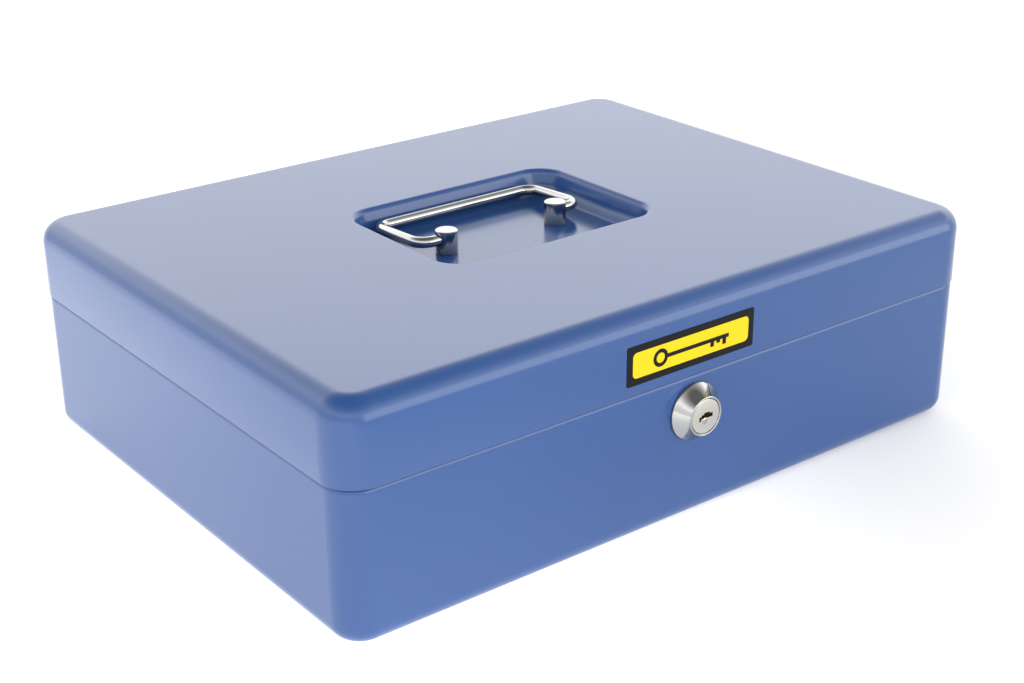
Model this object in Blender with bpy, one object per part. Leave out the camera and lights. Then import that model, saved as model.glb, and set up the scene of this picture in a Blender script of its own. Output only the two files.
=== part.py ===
"""Steel cash box with a recessed bail handle, a front cam lock and a lift-out coin tray.

Units are metres. +Z is up, the lock faces -Y, and the origin is on the ground under
the middle of the base. The lid swings about the rear hinge pins, the bail about the
two posts, the plug about its own axis, and the tray lifts out along +Z.
"""
import math

import bmesh
import bpy
from mathutils import Vector

# ---- driving dimensions --------------------------------------------------
WIDTH = 0.300
DEPTH = 0.228
HEIGHT = 0.089
SHEET = 0.0008
GAP = 0.0003

LID_EDGE_Z = 0.0585
LID_CORNER_R = 0.0135
LID_TOP_R = 0.0085

BASE_INSET = 0.0008
BASE_BOTTOM_R = 0.0068
BASE_CORNER_R = 0.0115
SHOULDER_R = 0.0040
SHOULDER_Z = 0.0546
NECK_INSET = 0.0020
NECK_TOP_Z = 0.0660

POCKET_HALF_X = 0.0515
POCKET_HALF_Y = 0.0375
POCKET_CORNER_R = 0.0120
POCKET_FLOOR_Z = 0.0785
POCKET_RIM_R = 0.0022
POCKET_FLOOR_R = 0.0075
POCKET_DRAFT = math.radians(15.0)
POCKET_EDGE_INSET = 0.0005

POST_X = 0.0273
POST_R = 0.0045
POST_TOP_Z = 0.0880
POST_STEM_R = 0.0025
POST_HEAD_R = 0.0036

BAIL_WIRE_R = 0.00225
BAIL_PIVOT_Z = 0.0845
BAIL_HALF_WIDTH = 0.0395
BAIL_REACH = 0.0320
BAIL_BEND_R = 0.0060
BAIL_DROOP = math.radians(3.2)
BAIL_END_X = 0.0265

LABEL_X = -0.0028
LABEL_Z = 0.0701
LABEL_WIDTH = 0.0610
LABEL_HEIGHT = 0.0150
LABEL_BORDER = 0.0026
LABEL_THICK = 0.0005

LOCK_Z = 0.0440
LOCK_FRONT_Y = -0.1200
LOCK_RIM_R = 0.0115
LOCK_FACE_R = 0.0077
LOCK_BODY_R = 0.0080
LOCK_BORE_R = 0.0069
LOCK_REAR_Y = -0.0960
PLUG_R = 0.0066
PLUG_BOSS_R = 0.0030
CAM_LENGTH = 0.0240
CAM_HALF_WIDTH = 0.0055
CAM_THICK = 0.0016

KEEPER_X0 = 0.0140
KEEPER_X1 = 0.0280
KEEPER_LEG_Y = -0.0975
KEEPER_SHELF_Z = 0.0365
KEEPER_THICK = 0.0010

HINGE_X = 0.0950
HINGE_LENGTH = 0.0300
HINGE_AXIS_Y = 0.1165
HINGE_AXIS_Z = 0.0580
HINGE_BARREL_R = 0.0022
HINGE_BORE_R = 0.0013
HINGE_PIN_R = 0.0010
LEAF_THICK = 0.0008
LEAF_HEIGHT = 0.0120
RIVET_R = 0.0010
RIVET_HEAD_R = 0.0020

TRAY_HALF_X = 0.1468
TRAY_HALF_Y = 0.1108
TRAY_BODY_X = 0.1435
TRAY_BODY_Y = 0.1075
TRAY_FLOOR_Z = 0.0300
TRAY_WALL = 0.0016
TRAY_FLANGE = 0.0016
TRAY_FLANGE_R = 0.0180
TRAY_NOTCH_HALF = 0.0345
TRAY_NOTCH_DEPTH = 0.0310
TRAY_JOINT_Y = -0.0166
CUP_DEPTH = 0.0300
CUP_ROUND = 0.0127
CELL_CORNER_R = 0.0084
CELL_FOOT_R = 0.0030

CORNER_STEPS = 8
ROUND_STEPS = 32


# ---- small helpers -------------------------------------------------------
def clear_scene():
    """Remove every object and mesh left in the file."""
    for obj in list(bpy.data.objects):
        bpy.data.objects.remove(obj, do_unlink=True)
    for mesh in list(bpy.data.meshes):
        bpy.data.meshes.remove(mesh)


def make_material(name, colour, roughness, metallic):
    """Principled material with one colour."""
    mat = bpy.data.materials.new(name)
    mat.use_nodes = True
    shader = mat.node_tree.nodes["Principled BSDF"]
    shader.inputs["Base Color"].default_value = (*colour, 1.0)
    shader.inputs["Roughness"].default_value = roughness
    shader.inputs["Metallic"].default_value = metallic
    mat.diffuse_color = (*colour, 1.0)
    return mat


def mesh_object(name, verts, faces):
    """Object from verts and faces, with every face pointing outwards."""
    mesh = bpy.data.meshes.new(name)
    mesh.from_pydata([tuple(v) for v in verts], [], faces)
    tidy_mesh(mesh)
    obj = bpy.data.objects.new(name, mesh)
    bpy.context.scene.collection.objects.link(obj)
    return obj


def tidy_mesh(mesh):
    """Merge doubled points and recalculate outward normals."""
    work = bmesh.new()
    work.from_mesh(mesh)
    bmesh.ops.remove_doubles(work, verts=work.verts, dist=1e-6)
    bmesh.ops.dissolve_degenerate(work, edges=work.edges, dist=1e-6)
    bmesh.ops.recalc_face_normals(work, faces=work.faces)
    work.to_mesh(mesh)
    work.free()
    mesh.update()


def join_meshes(name, objects):
    """Join several objects into one new object and drop the originals."""
    verts = []
    faces = []
    for obj in objects:
        start = len(verts)
        verts.extend(obj.matrix_world @ v.co for v in obj.data.vertices)
        faces.extend([start + i for i in p.vertices] for p in obj.data.polygons)
    for obj in objects:
        bpy.data.objects.remove(obj, do_unlink=True)
    return mesh_object(name, verts, faces)


def cut(obj, cutter, operation="DIFFERENCE"):
    """Apply an exact Boolean and remove the cutter."""
    cutter.hide_render = True
    cutter.display_type = "WIRE"
    modifier = obj.modifiers.new("cut", "BOOLEAN")
    modifier.operation = operation
    modifier.solver = "EXACT"
    modifier.object = cutter
    bpy.context.view_layer.update()
    graph = bpy.context.evaluated_depsgraph_get()
    result = bpy.data.meshes.new_from_object(obj.evaluated_get(graph))
    obj.modifiers.clear()
    obj.data = result
    tidy_mesh(obj.data)
    bpy.data.objects.remove(cutter, do_unlink=True)
    return obj


def finish(obj, material, smooth_angle=0.0):
    """Give the object its own material and shade its round faces smooth."""
    obj.data.materials.clear()
    obj.data.materials.append(material)
    for polygon in obj.data.polygons:
        polygon.material_index = 0
        polygon.use_smooth = smooth_angle > 0.0
    if smooth_angle > 0.0:
        obj.data.set_sharp_from_angle(angle=smooth_angle)
    return obj


def rounded_ring(half_x, half_y, radius, z, centre=(0.0, 0.0), steps=CORNER_STEPS):
    """Points of a rounded rectangle at height z, anticlockwise from above."""
    radius = max(radius, 1e-5)
    points = []
    signs = ((1, 1), (-1, 1), (-1, -1), (1, -1))
    for corner, (sign_x, sign_y) in enumerate(signs):
        cx = centre[0] + sign_x * (half_x - radius)
        cy = centre[1] + sign_y * (half_y - radius)
        for step in range(steps + 1):
            angle = math.pi / 2 * (corner + step / steps)
            points.append((cx + radius * math.cos(angle), cy + radius * math.sin(angle), z))
    return points


def loft(name, rings, closed_loop=False):
    """Skin equal-length rings; caps both ends unless the rings form a closed loop."""
    count = len(rings[0])
    verts = [point for ring in rings for point in ring]
    faces = []
    spans = len(rings) if closed_loop else len(rings) - 1
    for i in range(spans):
        low = i * count
        high = ((i + 1) % len(rings)) * count
        for j in range(count):
            k = (j + 1) % count
            faces.append([low + j, low + k, high + k, high + j])
    if not closed_loop:
        faces.append(list(range(count))[::-1])
        last = (len(rings) - 1) * count
        faces.append([last + j for j in range(count)])
    return mesh_object(name, verts, faces)


def turned(name, profile, origin, axis, steps=ROUND_STEPS, closed=True):
    """Revolve (radius, height) points about an axis through origin.

    A closed profile makes a ring. An open one must start and end at radius zero.
    """
    axis = Vector(axis).normalized()
    side = axis.orthogonal().normalized()
    other = axis.cross(side)
    origin = Vector(origin)
    verts = []
    rows = []
    for radius, height in profile:
        centre = origin + axis * height
        if radius < 1e-7:
            rows.append([len(verts)])
            verts.append(centre)
            continue
        row = []
        for step in range(steps):
            angle = 2 * math.pi * step / steps
            row.append(len(verts))
            verts.append(centre + side * (radius * math.cos(angle)) + other * (radius * math.sin(angle)))
        rows.append(row)
    pairs = list(zip(rows, rows[1:]))
    if closed:
        pairs.append((rows[-1], rows[0]))
    faces = []
    for low, high in pairs:
        for step in range(steps):
            nxt = (step + 1) % steps
            if len(low) == 1 and len(high) == 1:
                continue
            if len(low) == 1:
                faces.append([low[0], high[nxt], high[step]])
            elif len(high) == 1:
                faces.append([low[step], low[nxt], high[0]])
            else:
                faces.append([low[step], low[nxt], high[nxt], high[step]])
    return mesh_object(name, verts, faces)


def rod(name, radius, start, end, steps=ROUND_STEPS):
    """Plain cylinder between two points."""
    start = Vector(start)
    end = Vector(end)
    length = (end - start).length
    profile = [(0.0, 0.0), (radius, 0.0), (radius, length), (0.0, length)]
    return turned(name, profile, start, end - start, steps, closed=False)


def prism(name, outline, low, high, axis="Y"):
    """Extrude a flat outline between two heights along X, Y or Z."""
    def place(u, v, w):
        if axis == "X":
            return (w, u, v)
        if axis == "Y":
            return (u, w, v)
        return (u, v, w)

    count = len(outline)
    verts = [place(u, v, low) for u, v in outline] + [place(u, v, high) for u, v in outline]
    faces = [list(range(count))[::-1], [count + i for i in range(count)]]
    for i in range(count):
        j = (i + 1) % count
        faces.append([i, j, count + j, count + i])
    return mesh_object(name, verts, faces)


def box(name, low, high):
    """Plain box between two corners."""
    outline = [(low[0], low[1]), (high[0], low[1]), (high[0], high[1]), (low[0], high[1])]
    return prism(name, outline, low[2], high[2], axis="Z")


def arc(centre, radius, start_deg, end_deg, steps):
    """Points on an arc, both ends included."""
    points = []
    for step in range(steps + 1):
        angle = math.radians(start_deg + (end_deg - start_deg) * step / steps)
        points.append((centre[0] + radius * math.cos(angle), centre[1] + radius * math.sin(angle)))
    return points


def hexagon(across_flats):
    """Corner points of a hexagon centred on the origin."""
    radius = across_flats / math.sqrt(3.0)
    return [(radius * math.cos(math.pi / 3 * i), radius * math.sin(math.pi / 3 * i)) for i in range(6)]


# ---- lid -----------------------------------------------------------------
def pocket_profile(offset):
    """(inset, z) points from the lid top, over the pocket rim and down to its floor.

    offset moves the line below the drawn surface by that much.
    """
    draft = math.degrees(POCKET_DRAFT)
    tangent = math.tan((math.pi / 2 - POCKET_DRAFT) / 2)
    rim_centre = (POCKET_EDGE_INSET - POCKET_RIM_R * tangent, HEIGHT - POCKET_RIM_R)
    depth = HEIGHT - POCKET_FLOOR_Z
    foot = POCKET_EDGE_INSET + depth * math.tan(POCKET_DRAFT)
    floor_centre = (foot + POCKET_FLOOR_R * tangent, POCKET_FLOOR_Z + POCKET_FLOOR_R)
    points = arc(rim_centre, POCKET_RIM_R - offset, 90.0, draft, 4)
    points += arc(floor_centre, POCKET_FLOOR_R + offset, 180.0 + draft, 270.0, 7)
    return points


def lid_profile(offset):
    """(inset, z) points from the lid's lower edge up its wall to the flat top."""
    centre = (LID_TOP_R, HEIGHT - LID_TOP_R)
    points = [(offset, LID_EDGE_Z)]
    points += arc(centre, LID_TOP_R - offset, 180.0, 90.0, 6)
    return points


def outline_rings(profile, half_x, half_y, corner):
    """One rounded ring per (inset, z) point."""
    return [rounded_ring(half_x - d, half_y - d, corner - d, z) for d, z in profile]


def build_lid_shell():
    """Pressed lid: wall, rolled top edge and handle pocket in one sheet."""
    half_x = WIDTH / 2
    half_y = DEPTH / 2
    rings = outline_rings(lid_profile(0.0), half_x, half_y, LID_CORNER_R)
    rings += outline_rings(pocket_profile(0.0), POCKET_HALF_X, POCKET_HALF_Y, POCKET_CORNER_R)
    under = outline_rings(pocket_profile(SHEET), POCKET_HALF_X, POCKET_HALF_Y, POCKET_CORNER_R)
    inside = outline_rings(lid_profile(SHEET), half_x, half_y, LID_CORNER_R)
    shell = closed_sheet("lid_shell", rings, under[::-1] + inside[::-1])
    cutters = [rod("c", POST_STEM_R + GAP, (side * POST_X, 0, 0.074), (side * POST_X, 0, 0.083))
               for side in (-1, 1)]
    cutters += rivet_cutters("lid")
    return cut(shell, join_meshes("cutters", cutters))


def closed_sheet(name, outer, inner):
    """Skin outer then inner rings into one closed sheet with a floor cap on each."""
    count = len(outer[0])
    split = len(outer)
    rings = outer + inner
    verts = [point for ring in rings for point in ring]
    faces = []
    for i in range(len(rings)):
        if i == split - 1:
            continue
        low = i * count
        high = ((i + 1) % len(rings)) * count
        for j in range(count):
            k = (j + 1) % count
            faces.append([low + j, low + k, high + k, high + j])
    faces.append([(split - 1) * count + j for j in range(count)])
    faces.append([split * count + j for j in range(count)][::-1])
    return mesh_object(name, verts, faces)


def build_post(side, name):
    """Handle post: drilled pillar with a stem peened under the pocket floor."""
    foot = POCKET_FLOOR_Z + GAP
    under = POCKET_FLOOR_Z - SHEET - GAP
    washer = 0.0008 + GAP
    profile = [
        (0.0, POST_TOP_Z),
        (POST_R - 0.0003, POST_TOP_Z),
        (POST_R, POST_TOP_Z - 0.0003),
        (POST_R, foot),
        (POST_STEM_R, foot),
        (POST_STEM_R, under - washer),
        (POST_HEAD_R, under - washer),
        (POST_HEAD_R, under - washer - 0.0010),
        (POST_HEAD_R * 0.6, under - washer - 0.0016),
        (0.0, under - washer - 0.0016),
    ]
    post = turned(name, profile, (side * POST_X, 0.0, 0.0), (0, 0, 1), closed=False)
    inner = side * (BAIL_END_X - 0.0006)
    outer = side * (POST_X + 0.008)
    drill = rod("drill", BAIL_WIRE_R + GAP, (inner, 0, BAIL_PIVOT_Z), (outer, 0, BAIL_PIVOT_Z), 24)
    return cut(post, drill)


def build_post_washer(side, name):
    """Flat washer between the pocket floor and the peened stem."""
    top = POCKET_FLOOR_Z - SHEET - GAP
    inner = POST_STEM_R + GAP
    profile = [(inner, top), (0.0052, top), (0.0052, top - 0.0008), (inner, top - 0.0008)]
    return turned(name, profile, (side * POST_X, 0.0, 0.0), (0, 0, 1))


def build_bail():
    """Bent wire handle with its ends in the posts, folded towards the rear."""
    corner = math.pi / 2
    half = BAIL_HALF_WIDTH
    reach = BAIL_REACH
    bend = BAIL_BEND_R
    centres = (
        (-half + bend, bend, -corner, -2 * corner),
        (-half + bend, reach - bend, -2 * corner, -3 * corner),
        (half - bend, reach - bend, corner, 0.0),
        (half - bend, bend, 0.0, -corner),
    )
    path = [(-BAIL_END_X, 0.0)]
    for cx, cy, start, end in centres:
        for step in range(7):
            angle = start + (end - start) * step / 6
            path.append((cx + bend * math.cos(angle), cy + bend * math.sin(angle)))
    path.append((BAIL_END_X, 0.0))
    rings = []
    for index, (px, py) in enumerate(path):
        before = Vector(path[max(index - 1, 0)])
        after = Vector(path[min(index + 1, len(path) - 1)])
        along = (after - before).normalized()
        out = Vector((-along.y, along.x))
        ring = []
        for step in range(16):
            angle = 2 * math.pi * step / 16
            flat = Vector((px, py)) + out * (BAIL_WIRE_R * math.cos(angle))
            ring.append(bail_point(flat.x, flat.y, BAIL_WIRE_R * math.sin(angle)))
        rings.append(ring)
    return loft("handle_bail", rings)


def bail_point(x, reach, lift):
    """Turn a point in the bail's own plane to its drooping rest position."""
    y = reach * math.cos(BAIL_DROOP) + lift * math.sin(BAIL_DROOP)
    z = -reach * math.sin(BAIL_DROOP) + lift * math.cos(BAIL_DROOP)
    return (x, y, z + BAIL_PIVOT_Z)


def flat_outline(half_u, half_v, radius, centre, steps=5):
    """Rounded rectangle as plain (u, v) points."""
    return [(p[0], p[1]) for p in rounded_ring(half_u, half_v, radius, 0.0, centre, steps)]


def build_label_border():
    """Dark frame of the front label."""
    face = -DEPTH / 2 - GAP
    centre = (LABEL_X, LABEL_Z)
    outer = flat_outline(LABEL_WIDTH / 2, LABEL_HEIGHT / 2, 0.0008, centre)
    inner = flat_outline(LABEL_WIDTH / 2 - LABEL_BORDER, LABEL_HEIGHT / 2 - LABEL_BORDER, 0.0018, centre)
    frame = prism("label_border", outer, face - LABEL_THICK, face)
    window = prism("window", inner, face - 2 * LABEL_THICK, face + LABEL_THICK)
    return cut(frame, window)


def build_label_panel():
    """Bright inner panel of the front label."""
    face = -DEPTH / 2 - GAP
    trim = LABEL_BORDER + GAP
    outline = flat_outline(LABEL_WIDTH / 2 - trim, LABEL_HEIGHT / 2 - trim, 0.0015, (LABEL_X, LABEL_Z))
    return prism("label_panel", outline, face - LABEL_THICK, face)


def build_keeper():
    """Strap bracket that hangs from the lid and hooks under the cam."""
    wall = -DEPTH / 2 + SHEET + GAP
    t = KEEPER_THICK
    shelf = KEEPER_SHELF_Z
    over = NECK_TOP_Z + 0.0016
    leg = KEEPER_LEG_Y
    outline = [
        (wall, 0.0800),
        (wall, over),
        (leg, over),
        (leg, shelf),
        (leg + 0.0085, shelf),
        (leg + 0.0085, shelf + t),
        (leg + t, shelf + t),
        (leg + t, over + t),
        (wall + t, over + t),
        (wall + t, 0.0800),
    ]
    return prism("lock_keeper", outline, KEEPER_X0, KEEPER_X1, axis="X")


# ---- hinges --------------------------------------------------------------
def knuckle_ends(part):
    """(start, end) of each knuckle along the hinge, from its left end."""
    third = HINGE_LENGTH / 3
    if part == "base":
        return ((0.0, third - GAP), (2 * third + GAP, HINGE_LENGTH))
    return ((third, 2 * third),)


def rivet_points(part, side):
    """Centre (x, z) of both rivets of one leaf."""
    z = HINGE_AXIS_Z + (LEAF_HEIGHT * 0.62 if part == "lid" else -LEAF_HEIGHT * 0.72)
    return [(side * HINGE_X + offset, z) for offset in (-0.0095, 0.0095)]


def leaf_face(part):
    """Y of the sheet face the leaf is riveted to."""
    return DEPTH / 2 if part == "lid" else DEPTH / 2 - BASE_INSET


def rivet_cutters(part):
    """Cylinders that drill the sheet for every rivet of that part."""
    face = leaf_face(part)
    cutters = []
    for side in (-1, 1):
        for x, z in rivet_points(part, side):
            cutters.append(rod("c", RIVET_R + GAP, (x, face - 0.003, z), (x, face + 0.004, z), 16))
    return cutters


def build_leaf(part, side, name):
    """Hinge leaf: a plate on the outside of the sheet with knuckles round the pin."""
    face = leaf_face(part) + GAP
    left = side * HINGE_X - HINGE_LENGTH / 2
    if part == "lid":
        low, high = LID_EDGE_Z + 0.0018, HINGE_AXIS_Z + LEAF_HEIGHT
    else:
        low, high = HINGE_AXIS_Z - LEAF_HEIGHT - 0.0015, SHOULDER_Z - 0.0010
    plate = box(name, (left, face, low), (left + HINGE_LENGTH, face + LEAF_THICK, high))
    reach_z = low if part == "lid" else high
    for start, end in knuckle_ends(part):
        outline = arc((HINGE_AXIS_Y, HINGE_AXIS_Z), HINGE_BARREL_R, 0.0, 345.0, 23)
        tube = prism("tube", outline, left + start, left + end, axis="X")
        sign = 1.0 if part == "lid" else -1.0
        web = [
            (face, reach_z + sign * 0.0010),
            (face, reach_z - sign * 0.0002),
            (HINGE_AXIS_Y - HINGE_BARREL_R * 0.95, HINGE_AXIS_Z - sign * 0.0002),
            (HINGE_AXIS_Y, HINGE_AXIS_Z - sign * 0.0002),
            (HINGE_AXIS_Y, HINGE_AXIS_Z + sign * (HINGE_BARREL_R - 0.0002)),
            (face + LEAF_THICK, reach_z + sign * 0.0010),
        ]
        arm = prism("arm", web, left + start + 1e-5, left + end - 1e-5, axis="X")
        cut(plate, tube, "UNION")
        cut(plate, arm, "UNION")
    bore = rod("bore", HINGE_BORE_R, (left - 0.001, HINGE_AXIS_Y, HINGE_AXIS_Z),
               (left + HINGE_LENGTH + 0.001, HINGE_AXIS_Y, HINGE_AXIS_Z), 20)
    cut(plate, bore)
    holes = [rod("c", RIVET_R + GAP, (x, face - 0.002, z), (x, face + 0.003, z), 16)
             for x, z in rivet_points(part, side)]
    return cut(plate, join_meshes("holes", holes))


def build_hinge_pin(side, name):
    """Headed pin through the knuckles."""
    left = side * HINGE_X - HINGE_LENGTH / 2
    far = HINGE_LENGTH + 0.0008
    profile = [
        (0.0, -0.0012),
        (0.0016, -0.0012),
        (0.0016, -GAP),
        (HINGE_PIN_R, -GAP),
        (HINGE_PIN_R, far),
        (0.0, far),
    ]
    origin = (left, HINGE_AXIS_Y, HINGE_AXIS_Z)
    return turned(name, profile, origin, (1, 0, 0), 16, closed=False)


def build_rivet(part, centre, name):
    """Domed rivet through a leaf and the sheet, clenched on the inside."""
    face = leaf_face(part)
    out = face + GAP + LEAF_THICK + GAP
    inside = face - SHEET - GAP
    profile = [
        (0.0, out + 0.0009),
        (RIVET_HEAD_R * 0.55, out + 0.0007),
        (RIVET_HEAD_R, out),
        (RIVET_R, out),
        (RIVET_R, inside),
        (RIVET_HEAD_R, inside),
        (RIVET_HEAD_R * 0.7, inside - 0.0006),
        (0.0, inside - 0.0006),
    ]
    return turned(name, profile, (centre[0], 0, centre[1]), (0, 1, 0), 16, closed=False)


def build_leaf_rivets(part, side, word):
    """Both rivets of one leaf, each with its own finish."""
    rivets = []
    for centre, hand in zip(rivet_points(part, side), ("a", "b")):
        name = "_".join(("hinge", part, "rivet", word, hand))
        metal = make_material("zinc_" + name, (0.62, 0.62, 0.60), 0.40, 1.0)
        rivets.append(finish(build_rivet(part, centre, name), metal, math.radians(32.0)))
    return rivets


# ---- base ----------------------------------------------------------------
def base_profile(offset):
    """(inset, z) points from the base's flat bottom up to its neck."""
    bottom = (BASE_BOTTOM_R, BASE_BOTTOM_R)
    shoulder = (SHOULDER_R, SHOULDER_Z)
    points = arc(bottom, BASE_BOTTOM_R - offset, 270.0, 180.0, 7)
    points += arc(shoulder, SHOULDER_R - offset, 180.0, 125.0, 4)
    points.append((NECK_INSET + offset, SHOULDER_Z + SHOULDER_R - offset))
    points.append((NECK_INSET + offset, NECK_TOP_Z))
    return points


def build_base_shell():
    """Pressed base with a rounded bottom, a rounded shoulder and an inset neck."""
    half_x = WIDTH / 2 - BASE_INSET
    half_y = DEPTH / 2 - BASE_INSET
    corner = BASE_CORNER_R
    outer = outline_rings(base_profile(0.0), half_x, half_y, corner)
    inner = outline_rings(base_profile(SHEET), half_x, half_y, corner)
    shell = closed_sheet("base_shell", outer[::-1], inner)
    front = -DEPTH / 2
    cutters = [rod("c", LOCK_BODY_R + GAP, (0, front - 0.002, LOCK_Z), (0, front + 0.004, LOCK_Z))]
    cutters += rivet_cutters("base")
    return cut(shell, join_meshes("cutters", cutters))


# ---- lock ----------------------------------------------------------------
def build_lock_housing():
    """Conical lock collar and the threaded barrel behind it."""
    wall = -DEPTH / 2 + BASE_INSET
    seat = wall - GAP
    profile = [
        (LOCK_BORE_R, LOCK_FRONT_Y + 0.0003),
        (LOCK_BORE_R + 0.0003, LOCK_FRONT_Y),
        (LOCK_FACE_R - 0.0002, LOCK_FRONT_Y),
        (LOCK_FACE_R + 0.0002, LOCK_FRONT_Y + 0.0004),
        (LOCK_RIM_R - 0.0003, seat - 0.0012),
        (LOCK_RIM_R, seat - 0.0008),
        (LOCK_RIM_R, seat),
        (LOCK_BODY_R, seat),
        (LOCK_BODY_R, LOCK_REAR_Y),
        (LOCK_BORE_R, LOCK_REAR_Y),
    ]
    return turned("lock_housing", profile, (0, 0, LOCK_Z), (0, 1, 0), 48)


def build_lock_washer():
    """Washer inside the front wall, under the lock nut."""
    start = -DEPTH / 2 + BASE_INSET + SHEET + GAP
    inner = LOCK_BODY_R + GAP
    profile = [(inner, start), (0.0118, start), (0.0118, start + 0.0008), (inner, start + 0.0008)]
    return turned("lock_washer", profile, (0, 0, LOCK_Z), (0, 1, 0))


def hex_nut(name, across, bore, start, thick, centre, steps=ROUND_STEPS):
    """Hexagon nut along Y."""
    outline = [(centre[0] + u, centre[1] + v) for u, v in hexagon(across)]
    nut = prism(name, outline, start, start + thick)
    hole = rod("hole", bore, (centre[0], start - 0.002, centre[1]), (centre[0], start + thick + 0.002, centre[1]), steps)
    return cut(nut, hole)


def build_lock_nut():
    """Nut that clamps the lock into the front wall."""
    start = -DEPTH / 2 + BASE_INSET + SHEET + 2 * GAP + 0.0008
    return hex_nut("lock_nut", 0.0210, LOCK_BODY_R + GAP, start, 0.0030, (0.0, LOCK_Z))


def build_plug():
    """Lock plug with its keyway and the rear boss that carries the cam."""
    front = LOCK_FRONT_Y + 0.0004
    rear = LOCK_REAR_Y + 0.0005
    boss_end = rear + 0.0062
    profile = [
        (0.0, front),
        (PLUG_R - 0.0002, front),
        (PLUG_R, front + 0.0002),
        (PLUG_R, rear),
        (PLUG_BOSS_R, rear),
        (PLUG_BOSS_R, boss_end),
        (0.0, boss_end),
    ]
    plug = turned("lock_plug", profile, (0, 0, LOCK_Z), (0, 1, 0), 40, closed=False)
    half = 0.0036
    slot = [
        (-half, -0.0006),
        (-0.0012, -0.0006),
        (-0.0012, -0.0012),
        (0.0008, -0.0012),
        (0.0008, -0.0003),
        (half, -0.0003),
        (half, 0.0011),
        (0.0016, 0.0011),
        (0.0016, 0.0017),
        (-0.0004, 0.0017),
        (-0.0004, 0.0006),
        (-half, 0.0006),
    ]
    outline = [(u, LOCK_Z + v) for u, v in slot]
    return cut(plug, prism("keyway", outline, front - 0.002, front + 0.012))


def build_cam():
    """Cam arm on the plug's boss, pointing up while the lock is open."""
    start = LOCK_REAR_Y + 0.0005 + GAP
    half = CAM_HALF_WIDTH
    outline = arc((0.0, LOCK_Z), half, 180.0, 360.0, 12)
    tip = LOCK_Z + CAM_LENGTH
    outline += [(half, tip - 0.002), (half - 0.002, tip), (-half + 0.002, tip), (-half, tip - 0.002)]
    cam = prism("lock_cam", outline, start, start + CAM_THICK)
    hole = rod("hole", PLUG_BOSS_R + GAP, (0, start - 0.002, LOCK_Z), (0, start + 0.004, LOCK_Z), 24)
    return cut(cam, hole)


def build_cam_nut():
    """Nut that holds the cam on the plug's boss."""
    start = LOCK_REAR_Y + 0.0005 + 2 * GAP + CAM_THICK
    return hex_nut("cam_nut", 0.0090, PLUG_BOSS_R + GAP, start, 0.0030, (0.0, LOCK_Z), 24)


# ---- coin tray -----------------------------------------------------------
def tray_top():
    """Z of the upper face of the tray."""
    return NECK_TOP_Z + GAP + TRAY_FLANGE


def cell_rings(kind, half_x, half_y, centre):
    """Rings of one compartment, from its floor to above the tray."""
    rows = []
    if kind == "cup":
        floor = tray_top() - CUP_DEPTH
        for step in range(9):
            angle = math.pi / 2 * (0.10 + 0.90 * step / 8)
            rise = CUP_ROUND * (1 - math.cos(angle))
            low = min(1.0, rise / CELL_FOOT_R)
            end = CELL_FOOT_R * (1 - math.sqrt(max(0.0, 1 - (1 - low) ** 2)))
            rows.append((half_x - (half_x - 0.0004) * math.sin(angle), end, floor + rise))
    else:
        floor = TRAY_FLOOR_Z + TRAY_WALL
        for angle in (0.0, 30.0, 60.0, 90.0):
            inset = CELL_FOOT_R * (1 - math.sin(math.radians(angle)))
            rows.append((inset, inset, floor + CELL_FOOT_R * (1 - math.cos(math.radians(angle)))))
    rows.append((0.0, 0.0, tray_top() + 0.002))
    rings = []
    for inset_x, inset_y, z in rows:
        width = half_x - inset_x
        radius = min(CELL_CORNER_R, 0.95 * width)
        rings.append(rounded_ring(width, half_y - inset_y, radius, z, centre, 6))
    return rings


def cell_cutter(kind, x0, x1, y0, y1):
    """Space of one compartment with rounded corners and a rounded foot."""
    centre = ((x0 + x1) / 2, (y0 + y1) / 2)
    return loft("cell", cell_rings(kind, (x1 - x0) / 2, (y1 - y0) / 2, centre))


def tray_blank(name):
    """Solid outside of the whole tray: flange on a body with rounded corners."""
    top = tray_top()
    seat = NECK_TOP_Z + GAP
    rings = [
        rounded_ring(TRAY_BODY_X - 0.0020, TRAY_BODY_Y - 0.0020, 0.0080, TRAY_FLOOR_Z),
        rounded_ring(TRAY_BODY_X, TRAY_BODY_Y, 0.0100, TRAY_FLOOR_Z + 0.0020),
        rounded_ring(TRAY_BODY_X, TRAY_BODY_Y, 0.0100, seat),
        rounded_ring(TRAY_HALF_X, TRAY_HALF_Y, TRAY_FLANGE_R, seat),
        rounded_ring(TRAY_HALF_X, TRAY_HALF_Y, TRAY_FLANGE_R, top - 0.0003),
        rounded_ring(TRAY_HALF_X - 0.0003, TRAY_HALF_Y - 0.0003, TRAY_FLANGE_R - 0.0003, top),
    ]
    return loft(name, rings)


def build_tray_section(name, low, high, cells):
    """One section of the tray: its share of the outside, less its compartments."""
    section = tray_blank(name)
    keep = box("keep", (*low, 0.0), (*high, 0.1))
    cut(section, keep, "INTERSECT")
    cutters = [cell_cutter(*cell) for cell in cells]
    return cut(section, join_meshes("cells", cutters))


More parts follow.
